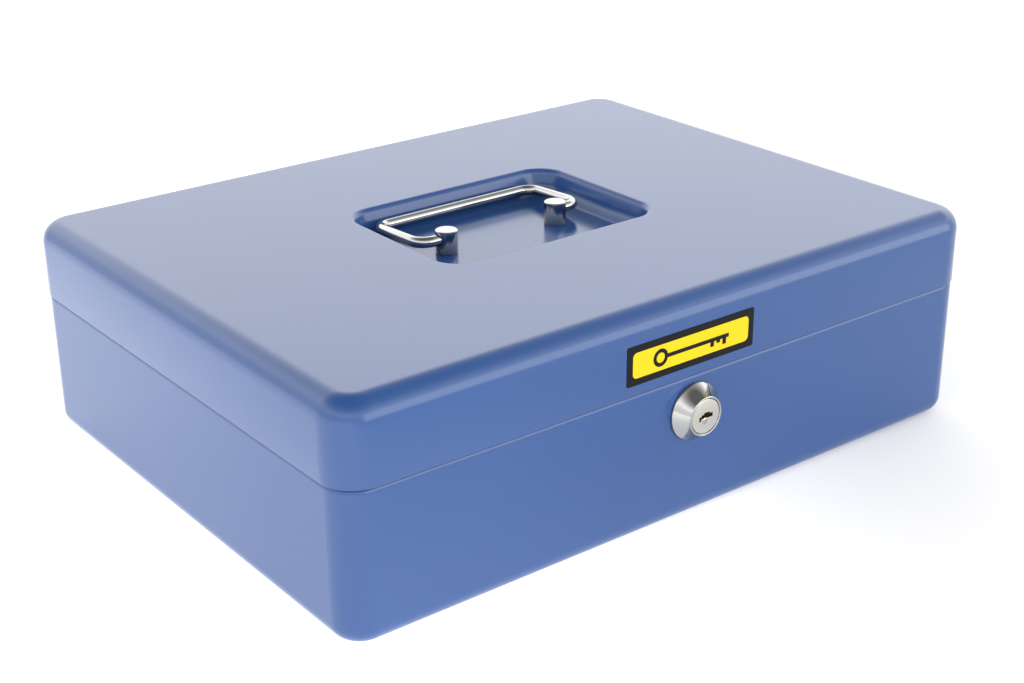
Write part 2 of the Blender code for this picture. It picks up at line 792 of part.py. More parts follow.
def build_tray():
    """Moulded lift-out tray in four sections: note bays, two rows of cups and a middle cup."""
    wall = TRAY_WALL
    left = -TRAY_BODY_X + wall
    inner = TRAY_NOTCH_HALF + wall
    front = -TRAY_BODY_Y + wall
    joint = TRAY_JOINT_Y - GAP
    rear = joint - wall
    span = (-inner - left - 2 * wall) / 3
    cups = [(left + i * (span + wall), left + i * (span + wall) + span) for i in range(3)]
    width = (2 * (TRAY_BODY_X - wall) - 3 * wall) / 4
    bays = [(left + i * (width + wall), left + i * (width + wall) + width) for i in range(4)]
    notch_back = -TRAY_BODY_Y + TRAY_NOTCH_DEPTH
    middle = TRAY_NOTCH_HALF - GAP
    cells = [("bay", x0, x1, TRAY_JOINT_Y + wall, TRAY_BODY_Y - wall) for x0, x1 in bays]
    sections = [build_tray_section("coin_tray_rear", (-0.2, TRAY_JOINT_Y), (0.2, 0.2), cells)]
    cells = [("cup", x0, x1, front, rear) for x0, x1 in cups]
    sections.append(build_tray_section("coin_tray_left", (-0.2, -0.2), (-TRAY_NOTCH_HALF, joint), cells))
    cells = [("cup", -x1, -x0, front, rear) for x0, x1 in cups]
    sections.append(build_tray_section("coin_tray_right", (TRAY_NOTCH_HALF, -0.2), (0.2, joint), cells))
    cells = [("bay", wall - middle, middle - wall, notch_back + wall, rear)]
    sections.append(build_tray_section("coin_tray_centre", (-middle, notch_back), (middle, joint), cells))
    return sections


# ---- assembly ------------------------------------------------------------
def set_axis_origin(objects, point):
    """Move each object's origin onto the joint axis without moving its mesh."""
    point = Vector(point)
    for obj in objects:
        for vertex in obj.data.vertices:
            vertex.co -= point
        obj.location = point


def build_all():
    """Build every node, give it its finish and put moving origins on their axes."""
    paint = (0.10, 0.20, 0.46)
    chrome = (0.80, 0.80, 0.78)
    zinc = (0.62, 0.62, 0.60)
    smooth = math.radians(32.0)

    base = [finish(build_base_shell(), make_material("paint_base", paint, 0.35, 0.0), smooth)]
    base.append(finish(build_lock_housing(), make_material("chrome_housing", chrome, 0.12, 1.0), smooth))
    base.append(finish(build_lock_washer(), make_material("zinc_washer", zinc, 0.40, 1.0), smooth))
    base.append(finish(build_lock_nut(), make_material("zinc_nut", zinc, 0.40, 1.0), smooth))

    lid = [finish(build_lid_shell(), make_material("paint_lid", paint, 0.35, 0.0), smooth)]
    lid.append(finish(build_keeper(), make_material("zinc_keeper", zinc, 0.40, 1.0)))
    lid.append(finish(build_label_border(), make_material("label_black", (0.02, 0.02, 0.02), 0.45, 0.0)))
    lid.append(finish(build_label_panel(), make_material("label_yellow", (0.95, 0.78, 0.05), 0.45, 0.0)))

    for side, word in ((-1, "left"), (1, "right")):
        post = build_post(side, "handle_post_" + word)
        lid.append(finish(post, make_material("chrome_post_" + word, chrome, 0.12, 1.0), smooth))
        washer = build_post_washer(side, "post_washer_" + word)
        lid.append(finish(washer, make_material("zinc_post_washer_" + word, zinc, 0.40, 1.0), smooth))
        leaf = build_leaf("lid", side, "hinge_lid_leaf_" + word)
        lid.append(finish(leaf, make_material("paint_lid_leaf_" + word, paint, 0.35, 0.0), smooth))
        lid += build_leaf_rivets("lid", side, word)
        leaf = build_leaf("base", side, "hinge_base_leaf_" + word)
        base.append(finish(leaf, make_material("paint_base_leaf_" + word, paint, 0.35, 0.0), smooth))
        base += build_leaf_rivets("base", side, word)
        pin = build_hinge_pin(side, "hinge_pin_" + word)
        base.append(finish(pin, make_material("zinc_hinge_pin_" + word, zinc, 0.40, 1.0), smooth))

    bail = finish(build_bail(), make_material("chrome_bail", chrome, 0.12, 1.0), smooth)
    plug = [finish(build_plug(), make_material("chrome_plug", chrome, 0.20, 1.0), smooth)]
    plug.append(finish(build_cam(), make_material("zinc_cam", zinc, 0.40, 1.0), smooth))
    plug.append(finish(build_cam_nut(), make_material("zinc_cam_nut", zinc, 0.40, 1.0), smooth))
    tray = [finish(section, make_material("plastic_" + section.name, (0.035, 0.036, 0.040), 0.45, 0.0), smooth)
            for section in build_tray()]

    set_axis_origin(lid, (0.0, HINGE_AXIS_Y, HINGE_AXIS_Z))
    set_axis_origin([bail], (0.0, 0.0, BAIL_PIVOT_Z))
    set_axis_origin(plug, (0.0, 0.0, LOCK_Z))
    set_axis_origin(tray, (0.0, 0.0, TRAY_FLOOR_Z))


clear_scene()
build_all()
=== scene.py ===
"""Steel cash box with a recessed bail handle, a front cam lock and a lift-out coin tray.

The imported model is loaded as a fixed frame. Every visible piece is built at its own
place in that frame, in metres, with +Z up and the lock facing -Y, and rides on one of
the frame's bodies.
"""
from __future__ import annotations

import logging
import math
from dataclasses import dataclass, field
from enum import Enum
from typing import Iterable, Optional, Sequence

import bmesh
import bpy
from mathutils import Matrix, Vector


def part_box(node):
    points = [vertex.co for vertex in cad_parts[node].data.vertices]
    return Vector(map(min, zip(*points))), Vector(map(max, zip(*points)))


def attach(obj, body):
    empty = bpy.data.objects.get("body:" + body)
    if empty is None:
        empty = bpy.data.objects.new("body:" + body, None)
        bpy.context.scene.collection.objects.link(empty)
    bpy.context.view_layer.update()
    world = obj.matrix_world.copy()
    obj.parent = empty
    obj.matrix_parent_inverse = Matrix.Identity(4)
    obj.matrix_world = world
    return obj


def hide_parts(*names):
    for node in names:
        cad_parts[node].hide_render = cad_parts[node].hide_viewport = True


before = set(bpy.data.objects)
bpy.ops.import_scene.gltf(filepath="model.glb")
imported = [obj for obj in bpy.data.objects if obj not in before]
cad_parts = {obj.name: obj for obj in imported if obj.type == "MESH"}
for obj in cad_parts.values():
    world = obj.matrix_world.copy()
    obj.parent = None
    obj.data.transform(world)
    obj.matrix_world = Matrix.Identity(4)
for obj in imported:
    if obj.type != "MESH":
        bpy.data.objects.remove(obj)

LOG = logging.getLogger("cash_box")
MM = 0.001
Point2 = tuple[float, float]
Ring = list[Vector]
ALONG_X = Vector((1, 0, 0))
ALONG_Y = Vector((0, 1, 0))
ALONG_Z = Vector((0, 0, 1))
ON_AXIS = 1e-7


class Body(Enum):
    """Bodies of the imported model."""

    BASE = "base"
    LID = "lid"
    BAIL = "bail"
    PLUG = "plug"
    TRAY = "tray"


class Slot(Enum):
    """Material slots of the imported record."""

    PAINT = "blue_paint"
    CHROME = "chrome"
    ZINC = "zinc"
    LABEL_BLACK = "label_black"
    LABEL_YELLOW = "label_yellow"
    TRAY = "tray_plastic"


class Side(Enum):
    """Left and right as seen from the front."""

    LEFT = -1
    RIGHT = 1

    @property
    def word(self) -> str:
        """Name of the side in lower case."""
        return self.name.lower()


# ---- material helpers ------------------------------------------------------
def linear(hex_colour: str) -> tuple[float, float, float, float]:
    """Turn an sRGB hex colour into linear RGBA.

    Args:
        hex_colour: Colour such as "#3A5FA8".

    Returns:
        Linear red, green, blue and an alpha of 1.
    """
    channels = [int(hex_colour[i:i + 2], 16) / 255.0 for i in (1, 3, 5)]
    values = [c / 12.92 if c <= 0.04045 else ((c + 0.055) / 1.055) ** 2.4 for c in channels]
    return (values[0], values[1], values[2], 1.0)


def add_node(tree: bpy.types.NodeTree, kind: str, options: Optional[dict] = None,
             values: Optional[dict] = None, links: Optional[dict] = None) -> bpy.types.Node:
    """Add one node with its settings, input values and incoming links.

    Args:
        tree: Node tree to add to.
        kind: Blender's node type name.
        options: Node properties by name.
        values: Input defaults by socket name or index.
        links: Output sockets to link in, by input name or index.

    Returns:
        The new node.
    """
    node = tree.nodes.new(kind)
    for key, value in (options or {}).items():
        setattr(node, key, value)
    for key, value in (values or {}).items():
        node.inputs[key].default_value = value
    for key, socket in (links or {}).items():
        tree.links.new(socket, node.inputs[key])
    return node


def start_material(name: str) -> tuple[bpy.types.Material, bpy.types.NodeTree, bpy.types.Node]:
    """Make a node material.

    Args:
        name: What the material really is.

    Returns:
        The material, its node tree and its Principled shader.
    """
    material = bpy.data.materials.new(name)
    material.use_nodes = True
    tree = material.node_tree
    return material, tree, tree.nodes["Principled BSDF"]


def cycles_per_metre(pitch_mm: float) -> float:
    """Noise scale whose features are pitch_mm wide on Object coordinates in metres."""
    return 1.0 / (pitch_mm * MM)


class Job(Enum):
    """What a pattern does to the surface."""

    TINT = "base colour, from the first colour to the second"
    GLOSS = "roughness, from low to high"
    RELIEF = "bump of strength low and height high in millimetres"


@dataclass(frozen=True)
class Pattern:
    """Noise of a real size, its job and the values it gives over its span."""

    job: Job
    pitch_mm: float
    detail: float
    low: float = 0.0
    high: float = 1.0
    span: tuple[float, float] = (0.0, 1.0)


@dataclass(frozen=True)
class Finish:
    """What every finish has: one or two colours, a gloss and patterns of a real size."""

    name: str = ""
    first: str = "#FFFFFF"
    second: Optional[str] = None
    shade: tuple[float, float] = (1.0, 1.0)
    roughness: float = 0.5
    metallic: float = 0.0
    ior: float = 1.5
    patterns: tuple[Pattern, ...] = ()

    def build(self) -> bpy.types.Material:
        """Build the finish.

        Returns:
            The finished material.
        """
        material, tree, shader = start_material(self.name)
        place = add_node(tree, "ShaderNodeTexCoord").outputs["Object"]
        ends = [(*(channel * scale for channel in linear(colour)[:3]), 1.0)
                for colour, scale in zip((self.first, self.second or self.first), self.shade)]
        shader.inputs["Base Color"].default_value = ends[0]
        shader.inputs["Metallic"].default_value = self.metallic
        shader.inputs["Roughness"].default_value = self.roughness
        shader.inputs["IOR"].default_value = self.ior
        below = {}
        for pattern in self.patterns:
            noise = add_node(tree, "ShaderNodeTexNoise", links={"Vector": place}, values={
                "Scale": cycles_per_metre(pattern.pitch_mm), "Detail": pattern.detail}).outputs["Fac"]
            if pattern.job is Job.TINT:
                tint = add_node(tree, "ShaderNodeMix", {"data_type": "RGBA"}, {6: ends[0], 7: ends[1]}, {0: noise})
                tree.links.new(tint.outputs[2], shader.inputs["Base Color"])
            elif pattern.job is Job.GLOSS:
                level = add_node(tree, "ShaderNodeMapRange", links={"Value": noise}, values={
                    "From Min": pattern.span[0], "From Max": pattern.span[1],
                    "To Min": pattern.low, "To Max": pattern.high})
                tree.links.new(level.outputs["Result"], shader.inputs["Roughness"])
            else:
                bump = add_node(tree, "ShaderNodeBump", links={"Height": noise, **below}, values={
                    "Strength": pattern.low, "Distance": pattern.high * MM})
                below = {"Normal": bump.outputs["Normal"]}
                tree.links.new(bump.outputs["Normal"], shader.inputs["Normal"])
        return material


@dataclass(frozen=True)
class PowderCoat(Finish):
    """Satin polyester powder coat, sprayed and baked on drawn steel.

    It levels into a glossy skin with a slight orange-peel swell, so reflections
    are clear but soft at their edges.
    """

    name: str = "polyester_powder_coat_blue"
    first: str = "#28497F"
    second: str = "#2B4E86"
    ior: float = 1.52
    patterns: tuple[Pattern, ...] = (
        Pattern(Job.TINT, 60.0, 2.0), Pattern(Job.GLOSS, 0.35, 1.0, 0.13, 0.21, (0.3, 0.7)),
        Pattern(Job.RELIEF, 2.4, 1.5, 0.10, 0.02), Pattern(Job.RELIEF, 55.0, 0.0, 0.35, 0.12))


@dataclass(frozen=True)
class BrightChrome(Finish):
    """Decorative chrome over polished nickel: mirror-bright with hairline polish marks."""

    name: str = "polished_chrome_plate"
    first: str = "#A7A8A8"
    metallic: float = 1.0
    patterns: tuple[Pattern, ...] = (
        Pattern(Job.GLOSS, 3.0, 3.0, 0.08, 0.14, (0.35, 0.7)), Pattern(Job.RELIEF, 0.25, 2.0, 0.04, 0.01))


@dataclass(frozen=True)
class FacedChrome(Finish):
    """Chrome over a lathe-faced end: fine rings about the lock's axis soften the mirror."""

    name: str = "lathe_faced_chrome"
    first: str = "#C9C8C2"
    roughness: float = 0.16
    metallic: float = 1.0
    centre: tuple[float, float, float] = (0.0, 0.0, 0.0)
    ring_mm: float = 0.22

    def build(self) -> bpy.types.Material:
        """Build the metal and its turned rings.

        Returns:
            The finished material.
        """
        material = super().build()
        tree = material.node_tree
        place = add_node(tree, "ShaderNodeTexCoord").outputs["Object"]
        moved = add_node(tree, "ShaderNodeMapping", values={"Location": tuple(-c for c in self.centre)},
                         links={"Vector": place})
        flat = add_node(tree, "ShaderNodeVectorMath", {"operation": "MULTIPLY"}, {1: (1.0, 0.0, 1.0)},
                        {0: moved.outputs["Vector"]})
        radius = add_node(tree, "ShaderNodeVectorMath", {"operation": "LENGTH"}, links={0: flat.outputs["Vector"]})
        turns = add_node(tree, "ShaderNodeMath", {"operation": "MULTIPLY"}, {1: 2 * math.pi / (self.ring_mm * MM)},
                         {0: radius.outputs["Value"]})
        ring = add_node(tree, "ShaderNodeMath", {"operation": "SINE"}, links={0: turns.outputs["Value"]})
        groove = add_node(tree, "ShaderNodeBump", values={"Strength": 0.10, "Distance": 0.01 * MM},
                          links={"Height": ring.outputs["Value"]})
        tree.links.new(groove.outputs["Normal"], tree.nodes["Principled BSDF"].inputs["Normal"])
        return material


@dataclass(frozen=True)
class ZincPlate(Finish):
    """Barrel-plated zinc with a clear passivate: dull, slightly blue and yellow by turns."""

    name: str = "passivated_zinc_plate"
    first: str = "#B4B6B5"
    second: str = "#BDB8A4"
    metallic: float = 1.0
    patterns: tuple[Pattern, ...] = (
        Pattern(Job.TINT, 7.0, 3.0), Pattern(Job.GLOSS, 0.30, 2.0, 0.30, 0.46), Pattern(Job.RELIEF, 0.30, 2.0, 0.2, 0.02))


@dataclass(frozen=True)
class PrintedFilm(Finish):
    """Screen-printed vinyl film: even ink with a faint mottle under a satin skin."""

    shade: tuple[float, float] = (0.95, 1.03)
    roughness: float = 0.42
    ior: float = 1.25
    patterns: tuple[Pattern, ...] = (Pattern(Job.TINT, 1.2, 3.0), Pattern(Job.RELIEF, 1.2, 3.0, 0.08, 0.01))


@dataclass(frozen=True)
class MouldedPlastic(Finish):
    """Injection-moulded ABS from a spark-eroded tool: a fine matt grain that dulls the gloss."""

    name: str = "textured_moulded_abs"
    first: str = "#2B2C2F"
    shade: tuple[float, float] = (0.88, 1.12)
    patterns: tuple[Pattern, ...] = (
        Pattern(Job.TINT, 40.0, 2.0), Pattern(Job.GLOSS, 0.55, 2.0, 0.40, 0.54), Pattern(Job.RELIEF, 0.55, 2.0, 0.35, 0.05))


@dataclass(frozen=True)
class PunchedBrass(Finish):
    """Bare punched brass strip, a little tarnished, seen as the wafers in the keyway."""

    name: str = "tarnished_wafer_brass"
    first: str = "#6E5A30"
    second: str = "#4A3C22"
    roughness: float = 0.42
    metallic: float = 1.0
    patterns: tuple[Pattern, ...] = (Pattern(Job.TINT, 1.5, 3.0),)


@dataclass
class FinishShelf:
    """One built material per finish, shared by all pieces."""

    paint: bpy.types.Material
    chrome: bpy.types.Material
    faced: bpy.types.Material
    zinc: bpy.types.Material
    black: bpy.types.Material
    yellow: bpy.types.Material
    plastic: bpy.types.Material
    brass: bpy.types.Material

    @classmethod
    def build(cls, lock_centre: tuple[float, float, float]) -> FinishShelf:
        """Build every finish.

        Args:
            lock_centre: A point on the lock's axis, for its faced rings.

        Returns:
            The filled shelf.
        """
        return cls(
            paint=PowderCoat().build(),
            chrome=BrightChrome().build(),
            faced=FacedChrome(centre=lock_centre).build(),
            zinc=ZincPlate().build(),
            black=PrintedFilm("black_printed_vinyl", "#0B0B0C").build(),
            yellow=PrintedFilm("yellow_printed_vinyl", "#D9BE16").build(),
            plastic=MouldedPlastic().build(),
            brass=PunchedBrass().build(),
        )


# ---- mesh helpers ----------------------------------------------------------
def arc(centre: Point2, radius: float, start: float, end: float, steps: int) -> list[Point2]:
    """Points on a flat arc.

    Args:
        centre: Middle of the arc.
        radius: Its radius.
        start: First angle in degrees.
        end: Last angle in degrees.
        steps: Number of chords.

    Returns:
        steps + 1 points, both ends included.
    """
    points = []
    for step in range(steps + 1):
        angle = math.radians(start + (end - start) * step / steps)
        points.append((centre[0] + radius * math.cos(angle), centre[1] + radius * math.sin(angle)))
    return points


def rounded_ring(half_x: float, half_y: float, radius: float, height: float,
                 centre: Point2 = (0.0, 0.0), steps: int = 16, support: float = 0.5 * MM) -> Ring:
    """Rounded rectangle with a support point beside each end of every corner.

    Args:
        half_x: Half of its width.
        half_y: Half of its depth.
        radius: Corner radius.
        height: Z of the ring.
        centre: Middle of the rectangle.
        steps: Chords in each corner.
        support: Distance from a corner's end to its support point.

    Returns:
        Points anticlockwise from above.
    """
    radius = max(radius, 0.05 * MM)
    ring: Ring = []
    for corner, (sx, sy) in enumerate(((1, 1), (-1, 1), (-1, -1), (1, -1))):
        cx = centre[0] + sx * (half_x - radius)
        cy = centre[1] + sy * (half_y - radius)
        for step in range(-1, steps + 2):
            angle = math.pi / 2 * (corner + min(max(step, 0), steps) / steps)
            point = Vector((cx + radius * math.cos(angle), cy + radius * math.sin(angle), height))
            along = Vector((-math.sin(angle), math.cos(angle), 0.0))
            if step < 0:
                point -= along * support
            if step > steps:
                point += along * support
            ring.append(point)
    return ring


@dataclass
class Form:
    """Points and faces of a piece while it is being made."""

    points: list[Vector] = field(default_factory=list)
    faces: list[list[int]] = field(default_factory=list)

    def skin(self, rings: Sequence[Ring]) -> Form:
        """Join equal rings with quads and close each end with one face.

        Args:
            rings: Rings with the same number of points.

        Returns:
            This form.
        """
        start, count = len(self.points), len(rings[0])
        for ring in rings:
            self.points.extend(ring)
        last = len(self.points) - count
        for low in range(start, last, count):
            for j in range(count):
                k = (j + 1) % count
                self.faces.append([low + j, low + k, low + count + k, low + count + j])
        self.faces.append([start + j for j in range(count)][::-1])
        self.faces.append([last + j for j in range(count)])
        return self

    def turned(self, profile: Sequence[Point2], origin: Vector, axis: Vector, steps: int = 64) -> Form:
        """Revolve a profile about an axis; one that starts clear of the axis is closed into a loop.

        Args:
            profile: (radius, distance along the axis) points.
            origin: Point on the axis that distances start from.
            axis: Direction of the axis.
            steps: Number of facets around.

        Returns:
            This form.
        """
        axis = axis.normalized()
        side = axis.orthogonal().normalized()
        other = axis.cross(side)
        rows: list[list[int]] = []
        for radius, height in profile:
            middle = origin + axis * height
            if radius < ON_AXIS:
                rows.append([len(self.points)])
                self.points.append(middle)
                continue
            row = []
            for step in range(steps):
                angle = 2 * math.pi * step / steps
                row.append(len(self.points))
                self.points.append(middle + (side * math.cos(angle) + other * math.sin(angle)) * radius)
            rows.append(row)
        pairs = list(zip(rows, rows[1:])) + ([(rows[-1], rows[0])] if profile[0][0] >= ON_AXIS else [])
        for low, high in pairs:
            if len(low) == 1 and len(high) == 1:
                continue
            for step in range(steps):
                nxt = (step + 1) % steps
                if len(low) == 1:
                    self.faces.append([low[0], high[nxt], high[step]])
                elif len(high) == 1:
                    self.faces.append([low[step], low[nxt], high[0]])
                else:
                    self.faces.append([low[step], low[nxt], high[nxt], high[step]])
        return self

    def prism(self, outline: Sequence[Point2], low: float, high: float, axis: str = "Y") -> Form:
        """Extrude a flat outline.

        Args:
            outline: Points in the plane across the axis, in X, Y, Z order.
            low: Start along the axis.
            high: End along the axis.
            axis: "X" or "Y".

        Returns:
            This form.
        """
        ends = [[Vector((w, u, v) if axis == "X" else (u, w, v)) for u, v in outline] for w in (low, high)]
        return self.skin(ends)

    def make(self, name: str) -> bpy.types.Object:
        """Turn the form into an object with outward faces.

        Args:
            name: Name of the piece.

        Returns:
            The new object.
        """
        mesh = bpy.data.meshes.new(name)
        mesh.from_pydata([tuple(p) for p in self.points], [], self.faces)
        clean_mesh(mesh)
        piece = bpy.data.objects.new(name, mesh)
        bpy.context.scene.collection.objects.link(piece)
        return piece


def clean_mesh(mesh: bpy.types.Mesh) -> None:
    """Merge doubled points and turn every face outwards.

    Args:
        mesh: Mesh to clean in place.
    """
    work = bmesh.new()
    work.from_mesh(mesh)
    bmesh.ops.remove_doubles(work, verts=work.verts, dist=1e-6)
    bmesh.ops.dissolve_degenerate(work, edges=work.edges, dist=1e-6)
    bmesh.ops.recalc_face_normals(work, faces=work.faces)
    work.to_mesh(mesh)
    work.free()
    mesh.update()


def bake_modifiers(piece: bpy.types.Object) -> None:
    """Replace the piece's mesh by its evaluated one and drop the modifiers.

    Args:
        piece: Object whose modifiers are applied.
    """
    bpy.context.view_layer.update()
    graph = bpy.context.evaluated_depsgraph_get()
    result = bpy.data.meshes.new_from_object(piece.evaluated_get(graph))
    piece.modifiers.clear()
    piece.data = result


def combine(piece: bpy.types.Object, other: bpy.types.Object, operation: str = "DIFFERENCE") -> bpy.types.Object:
    """Cut or join with an exact Boolean.

    Args:
        piece: Object that is changed.
        other: Object that is used up.
        operation: "DIFFERENCE" or "UNION".

    Returns:
        The changed piece.
    """
    step = piece.modifiers.new("combine", "BOOLEAN")
    step.operation = operation
    step.solver = "EXACT"
    step.object = other
    bake_modifiers(piece)
    bpy.data.objects.remove(other, do_unlink=True)
    clean_mesh(piece.data)
    return piece


def drill(piece: bpy.types.Object, radius: float, ends: Point2, origin: Vector, axis: Vector, steps: int) -> None:
    """Cut a straight round hole.

    Args:
        piece: Object to cut.
        radius: Radius of the hole.
        ends: Start and end along the axis, from the origin.
        origin: Point on the hole's axis.
        axis: Direction of the hole.
        steps: Number of facets around.
    """
    low, high = ends
    profile = [(0.0, low), (radius, low), (radius, high), (0.0, high)]
    combine(piece, Form().turned(profile, origin, axis, steps).make("drill"))


def soften_edges(piece: bpy.types.Object, width_mm: float, segments: int = 2, angle: float = 35.0) -> bpy.types.Object:
    """Round the sharp edges of a piece.

    Args:
        piece: Object to bevel.
        width_mm: Bevel width in millimetres.
        segments: Chords in each bevel.
        angle: Edges sharper than this many degrees are rounded.

    Returns:
        The same piece.
    """
    bevel = piece.modifiers.new("edge", "BEVEL")
    bevel.width = width_mm * MM
    bevel.segments = segments
    bevel.limit_method = "ANGLE"
    bevel.angle_limit = math.radians(angle)
    bake_modifiers(piece)
    return piece


def dress(piece: bpy.types.Object, material: bpy.types.Material, smooth: float = 30.0) -> bpy.types.Object:
    """Give a piece its finish and smooth its round faces.

    Args:
        piece: Object to dress.
        material: Its finish.
        smooth: Edges sharper than this many degrees stay crisp.

    Returns:
        The same piece.
    """
    piece.data.materials.clear()
    piece.data.materials.append(material)
    for polygon in piece.data.polygons:
        polygon.material_index = 0
        polygon.use_smooth = True
    piece.data.set_sharp_from_angle(angle=math.radians(smooth))
    return piece


def seat(piece: bpy.types.Object, body: Body, nodes: Iterable[str] = ()) -> None:
    """Let a finished piece ride on its body and stand for its frame nodes.

    Args:
        piece: The finished object.
        body: Body that it moves with.
        nodes: Frame nodes that it stands for.
    """
    names = tuple(nodes)
    if names:
        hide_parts(*names)
    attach(piece, body.value)
    LOG.info("%s: %d faces on %s", piece.name, len(piece.data.polygons), body.value)


# ---- pressed shells --------------------------------------------------------
@dataclass(frozen=True)
class PressedSheet:
    """A drawn sheet whose section is given as (inset, height) points."""

    half_x: float
    half_y: float
    corner: float
    gauge: float = 0.8 * MM
    least_corner: float = 2.0 * MM

    def rings(self, section: Sequence[Point2]) -> list[Ring]:
        """One rounded ring for each point of the section.

        Args:
            section: (inset, height) points.

        Returns:
            The rings in the same order.
        """
        return [rounded_ring(self.half_x - d, self.half_y - d, max(self.corner - d, self.least_corner), z)
                for d, z in section]


@dataclass
class HandleRecess:
    """Drawn recess in the lid's top for the bail handle."""

    outline: PressedSheet = PressedSheet(51.5 * MM, 37.5 * MM, 12.0 * MM)
    top: float = 89.0 * MM
    floor: float = 78.5 * MM
    rim_radius: float = 2.6 * MM
    floor_radius: float = 6.0 * MM
    draft: float = 13.0
    edge_inset: float = 0.5 * MM

    def section(self, offset: float) -> list[Point2]:
        """Section from the lid's flat top to the recess floor.

        Args:
            offset: Distance below the drawn surface.

        Returns:
            (inset, height) points.
        """
        tangent = math.tan(math.radians(90.0 - self.draft) / 2)
        rim = (self.edge_inset - self.rim_radius * tangent, self.top - self.rim_radius)
        foot = self.edge_inset + (self.top - self.floor) * math.tan(math.radians(self.draft))
        heel = (foot + self.floor_radius * tangent, self.floor + self.floor_radius)
        points = [(rim[0] - 1.2 * MM, self.top - offset)]
        points += arc(rim, self.rim_radius - offset, 90.0, self.draft, 8)
        points += arc(heel, self.floor_radius + offset, 180.0 + self.draft, 270.0, 14)
        points.append((heel[0] + 0.5 * MM, self.floor - offset))
        return points

    def rings(self, offset: float) -> list[Ring]:
        """Rings of the recess from rim to floor, moved below the drawn surface by the offset."""
        return self.outline.rings(self.section(offset))


@dataclass
class LidShell:
    """Pressed lid with rolled top edges, a handle recess and a turned lower edge."""

    finish: bpy.types.Material
    sheet: PressedSheet
    recess: HandleRecess
    top: float
    edge: float
    roll: float = 8.5 * MM

    def section(self, offset: float) -> list[Point2]:
        """Section of the wall from the lower edge to the flat top.

        Args:
            offset: Distance inside the outer face.

        Returns:
            (inset, height) points.
        """
        centre = (self.roll, self.top - self.roll)
        points = [(offset, centre[1] - 0.6 * MM)]
        points += arc(centre, self.roll - offset, 180.0, 90.0, 16)
        points.append((self.roll + 0.6 * MM, self.top - offset))
        return points

    def hem(self) -> list[Point2]:
        """Rounded raw edge, from the inner face under to the outer face."""
        half = self.sheet.gauge / 2
        return arc((half, self.edge + half), half, 360.0, 180.0, 6)

    def build(self) -> None:
        """Build the lid shell and seat it."""
        hem = self.hem()
        outer = self.sheet.rings(hem[3:] + self.section(0.0)) + self.recess.rings(0.0)
        inner = self.recess.rings(self.sheet.gauge)[::-1]
        inner += self.sheet.rings(self.section(self.sheet.gauge)[::-1] + hem[:3])
        shell = Form().skin(inner + outer).make("lid_pressing")
        dress(shell, self.finish, 40.0)
        seat(shell, Body.LID, ["lid_shell"])


@dataclass
class BaseShell:
    """Pressed base with rounded bottom edges, a shoulder and the neck that enters the lid."""

    finish: bpy.types.Material
    sheet: PressedSheet
    neck_top: float
    lock_z: float
    lock_hole: float = 8.15 * MM
    bottom_radius: float = 6.8 * MM
    shoulder_radius: float = 2.2 * MM
    shoulder_start: float = 56.5 * MM
    neck_inset: float = 2.0 * MM
    panel_inset: float = 19.0 * MM
    panel_lift: float = 0.7 * MM

    def section(self, offset: float) -> list[Point2]:
        """Section from the neck down to the raised middle of the bottom.

        Args:
            offset: Distance inside the outer face.

        Returns:
            (inset, height) points.
        """
        shoulder = (self.shoulder_radius, self.shoulder_start)
        bottom = (self.bottom_radius, self.bottom_radius)
        top = shoulder[1] + self.shoulder_radius - offset
        inset = self.neck_inset + offset
        points = [(inset, self.neck_top - 1.0 * MM), (inset, top + 0.9 * MM), (inset - 0.12 * MM, top + 0.35 * MM)]
        points += [(inset - 0.5 * MM, top - 0.28 * MM)]
        points += arc(shoulder, self.shoulder_radius - offset, 130.0, 180.0, 10)
        points.append((offset, shoulder[1] - 0.7 * MM))
        points.append((offset, bottom[1] + 0.7 * MM))
        points += arc(bottom, self.bottom_radius - offset, 180.0, 270.0, 14)
        points.append((self.bottom_radius + 0.7 * MM, offset))
        lift = self.panel_inset
        points += [(lift - 1.6 * MM, offset), (lift - 0.9 * MM, offset + 0.12 * MM)]
        points += [(lift + 0.9 * MM, offset + self.panel_lift - 0.12 * MM), (lift + 1.6 * MM, offset + self.panel_lift)]
        points.append((lift + 2.4 * MM, offset + self.panel_lift))
        return points

    def rim(self) -> list[Point2]:
        """Rounded top of the neck, from the inner face over to the outer face."""
        half = self.sheet.gauge / 2
        return arc((self.neck_inset + half, self.neck_top - half), half, 0.0, 180.0, 6)

    def build(self) -> None:
        """Build the base shell, pierce it for the lock and seat it."""
        rim = self.rim()
        outer = self.sheet.rings(rim[3:] + self.section(0.0))
        inner = self.sheet.rings(self.section(self.sheet.gauge)[::-1] + rim[:3])
        shell = Form().skin(inner + outer).make("base_pressing")
        front = -self.sheet.half_y
        drill(shell, self.lock_hole, (-3 * MM, 3 * MM), Vector((0.0, front, self.lock_z)), ALONG_Y, 64)
        dress(shell, self.finish, 40.0)
        seat(shell, Body.BASE, ["base_shell"])


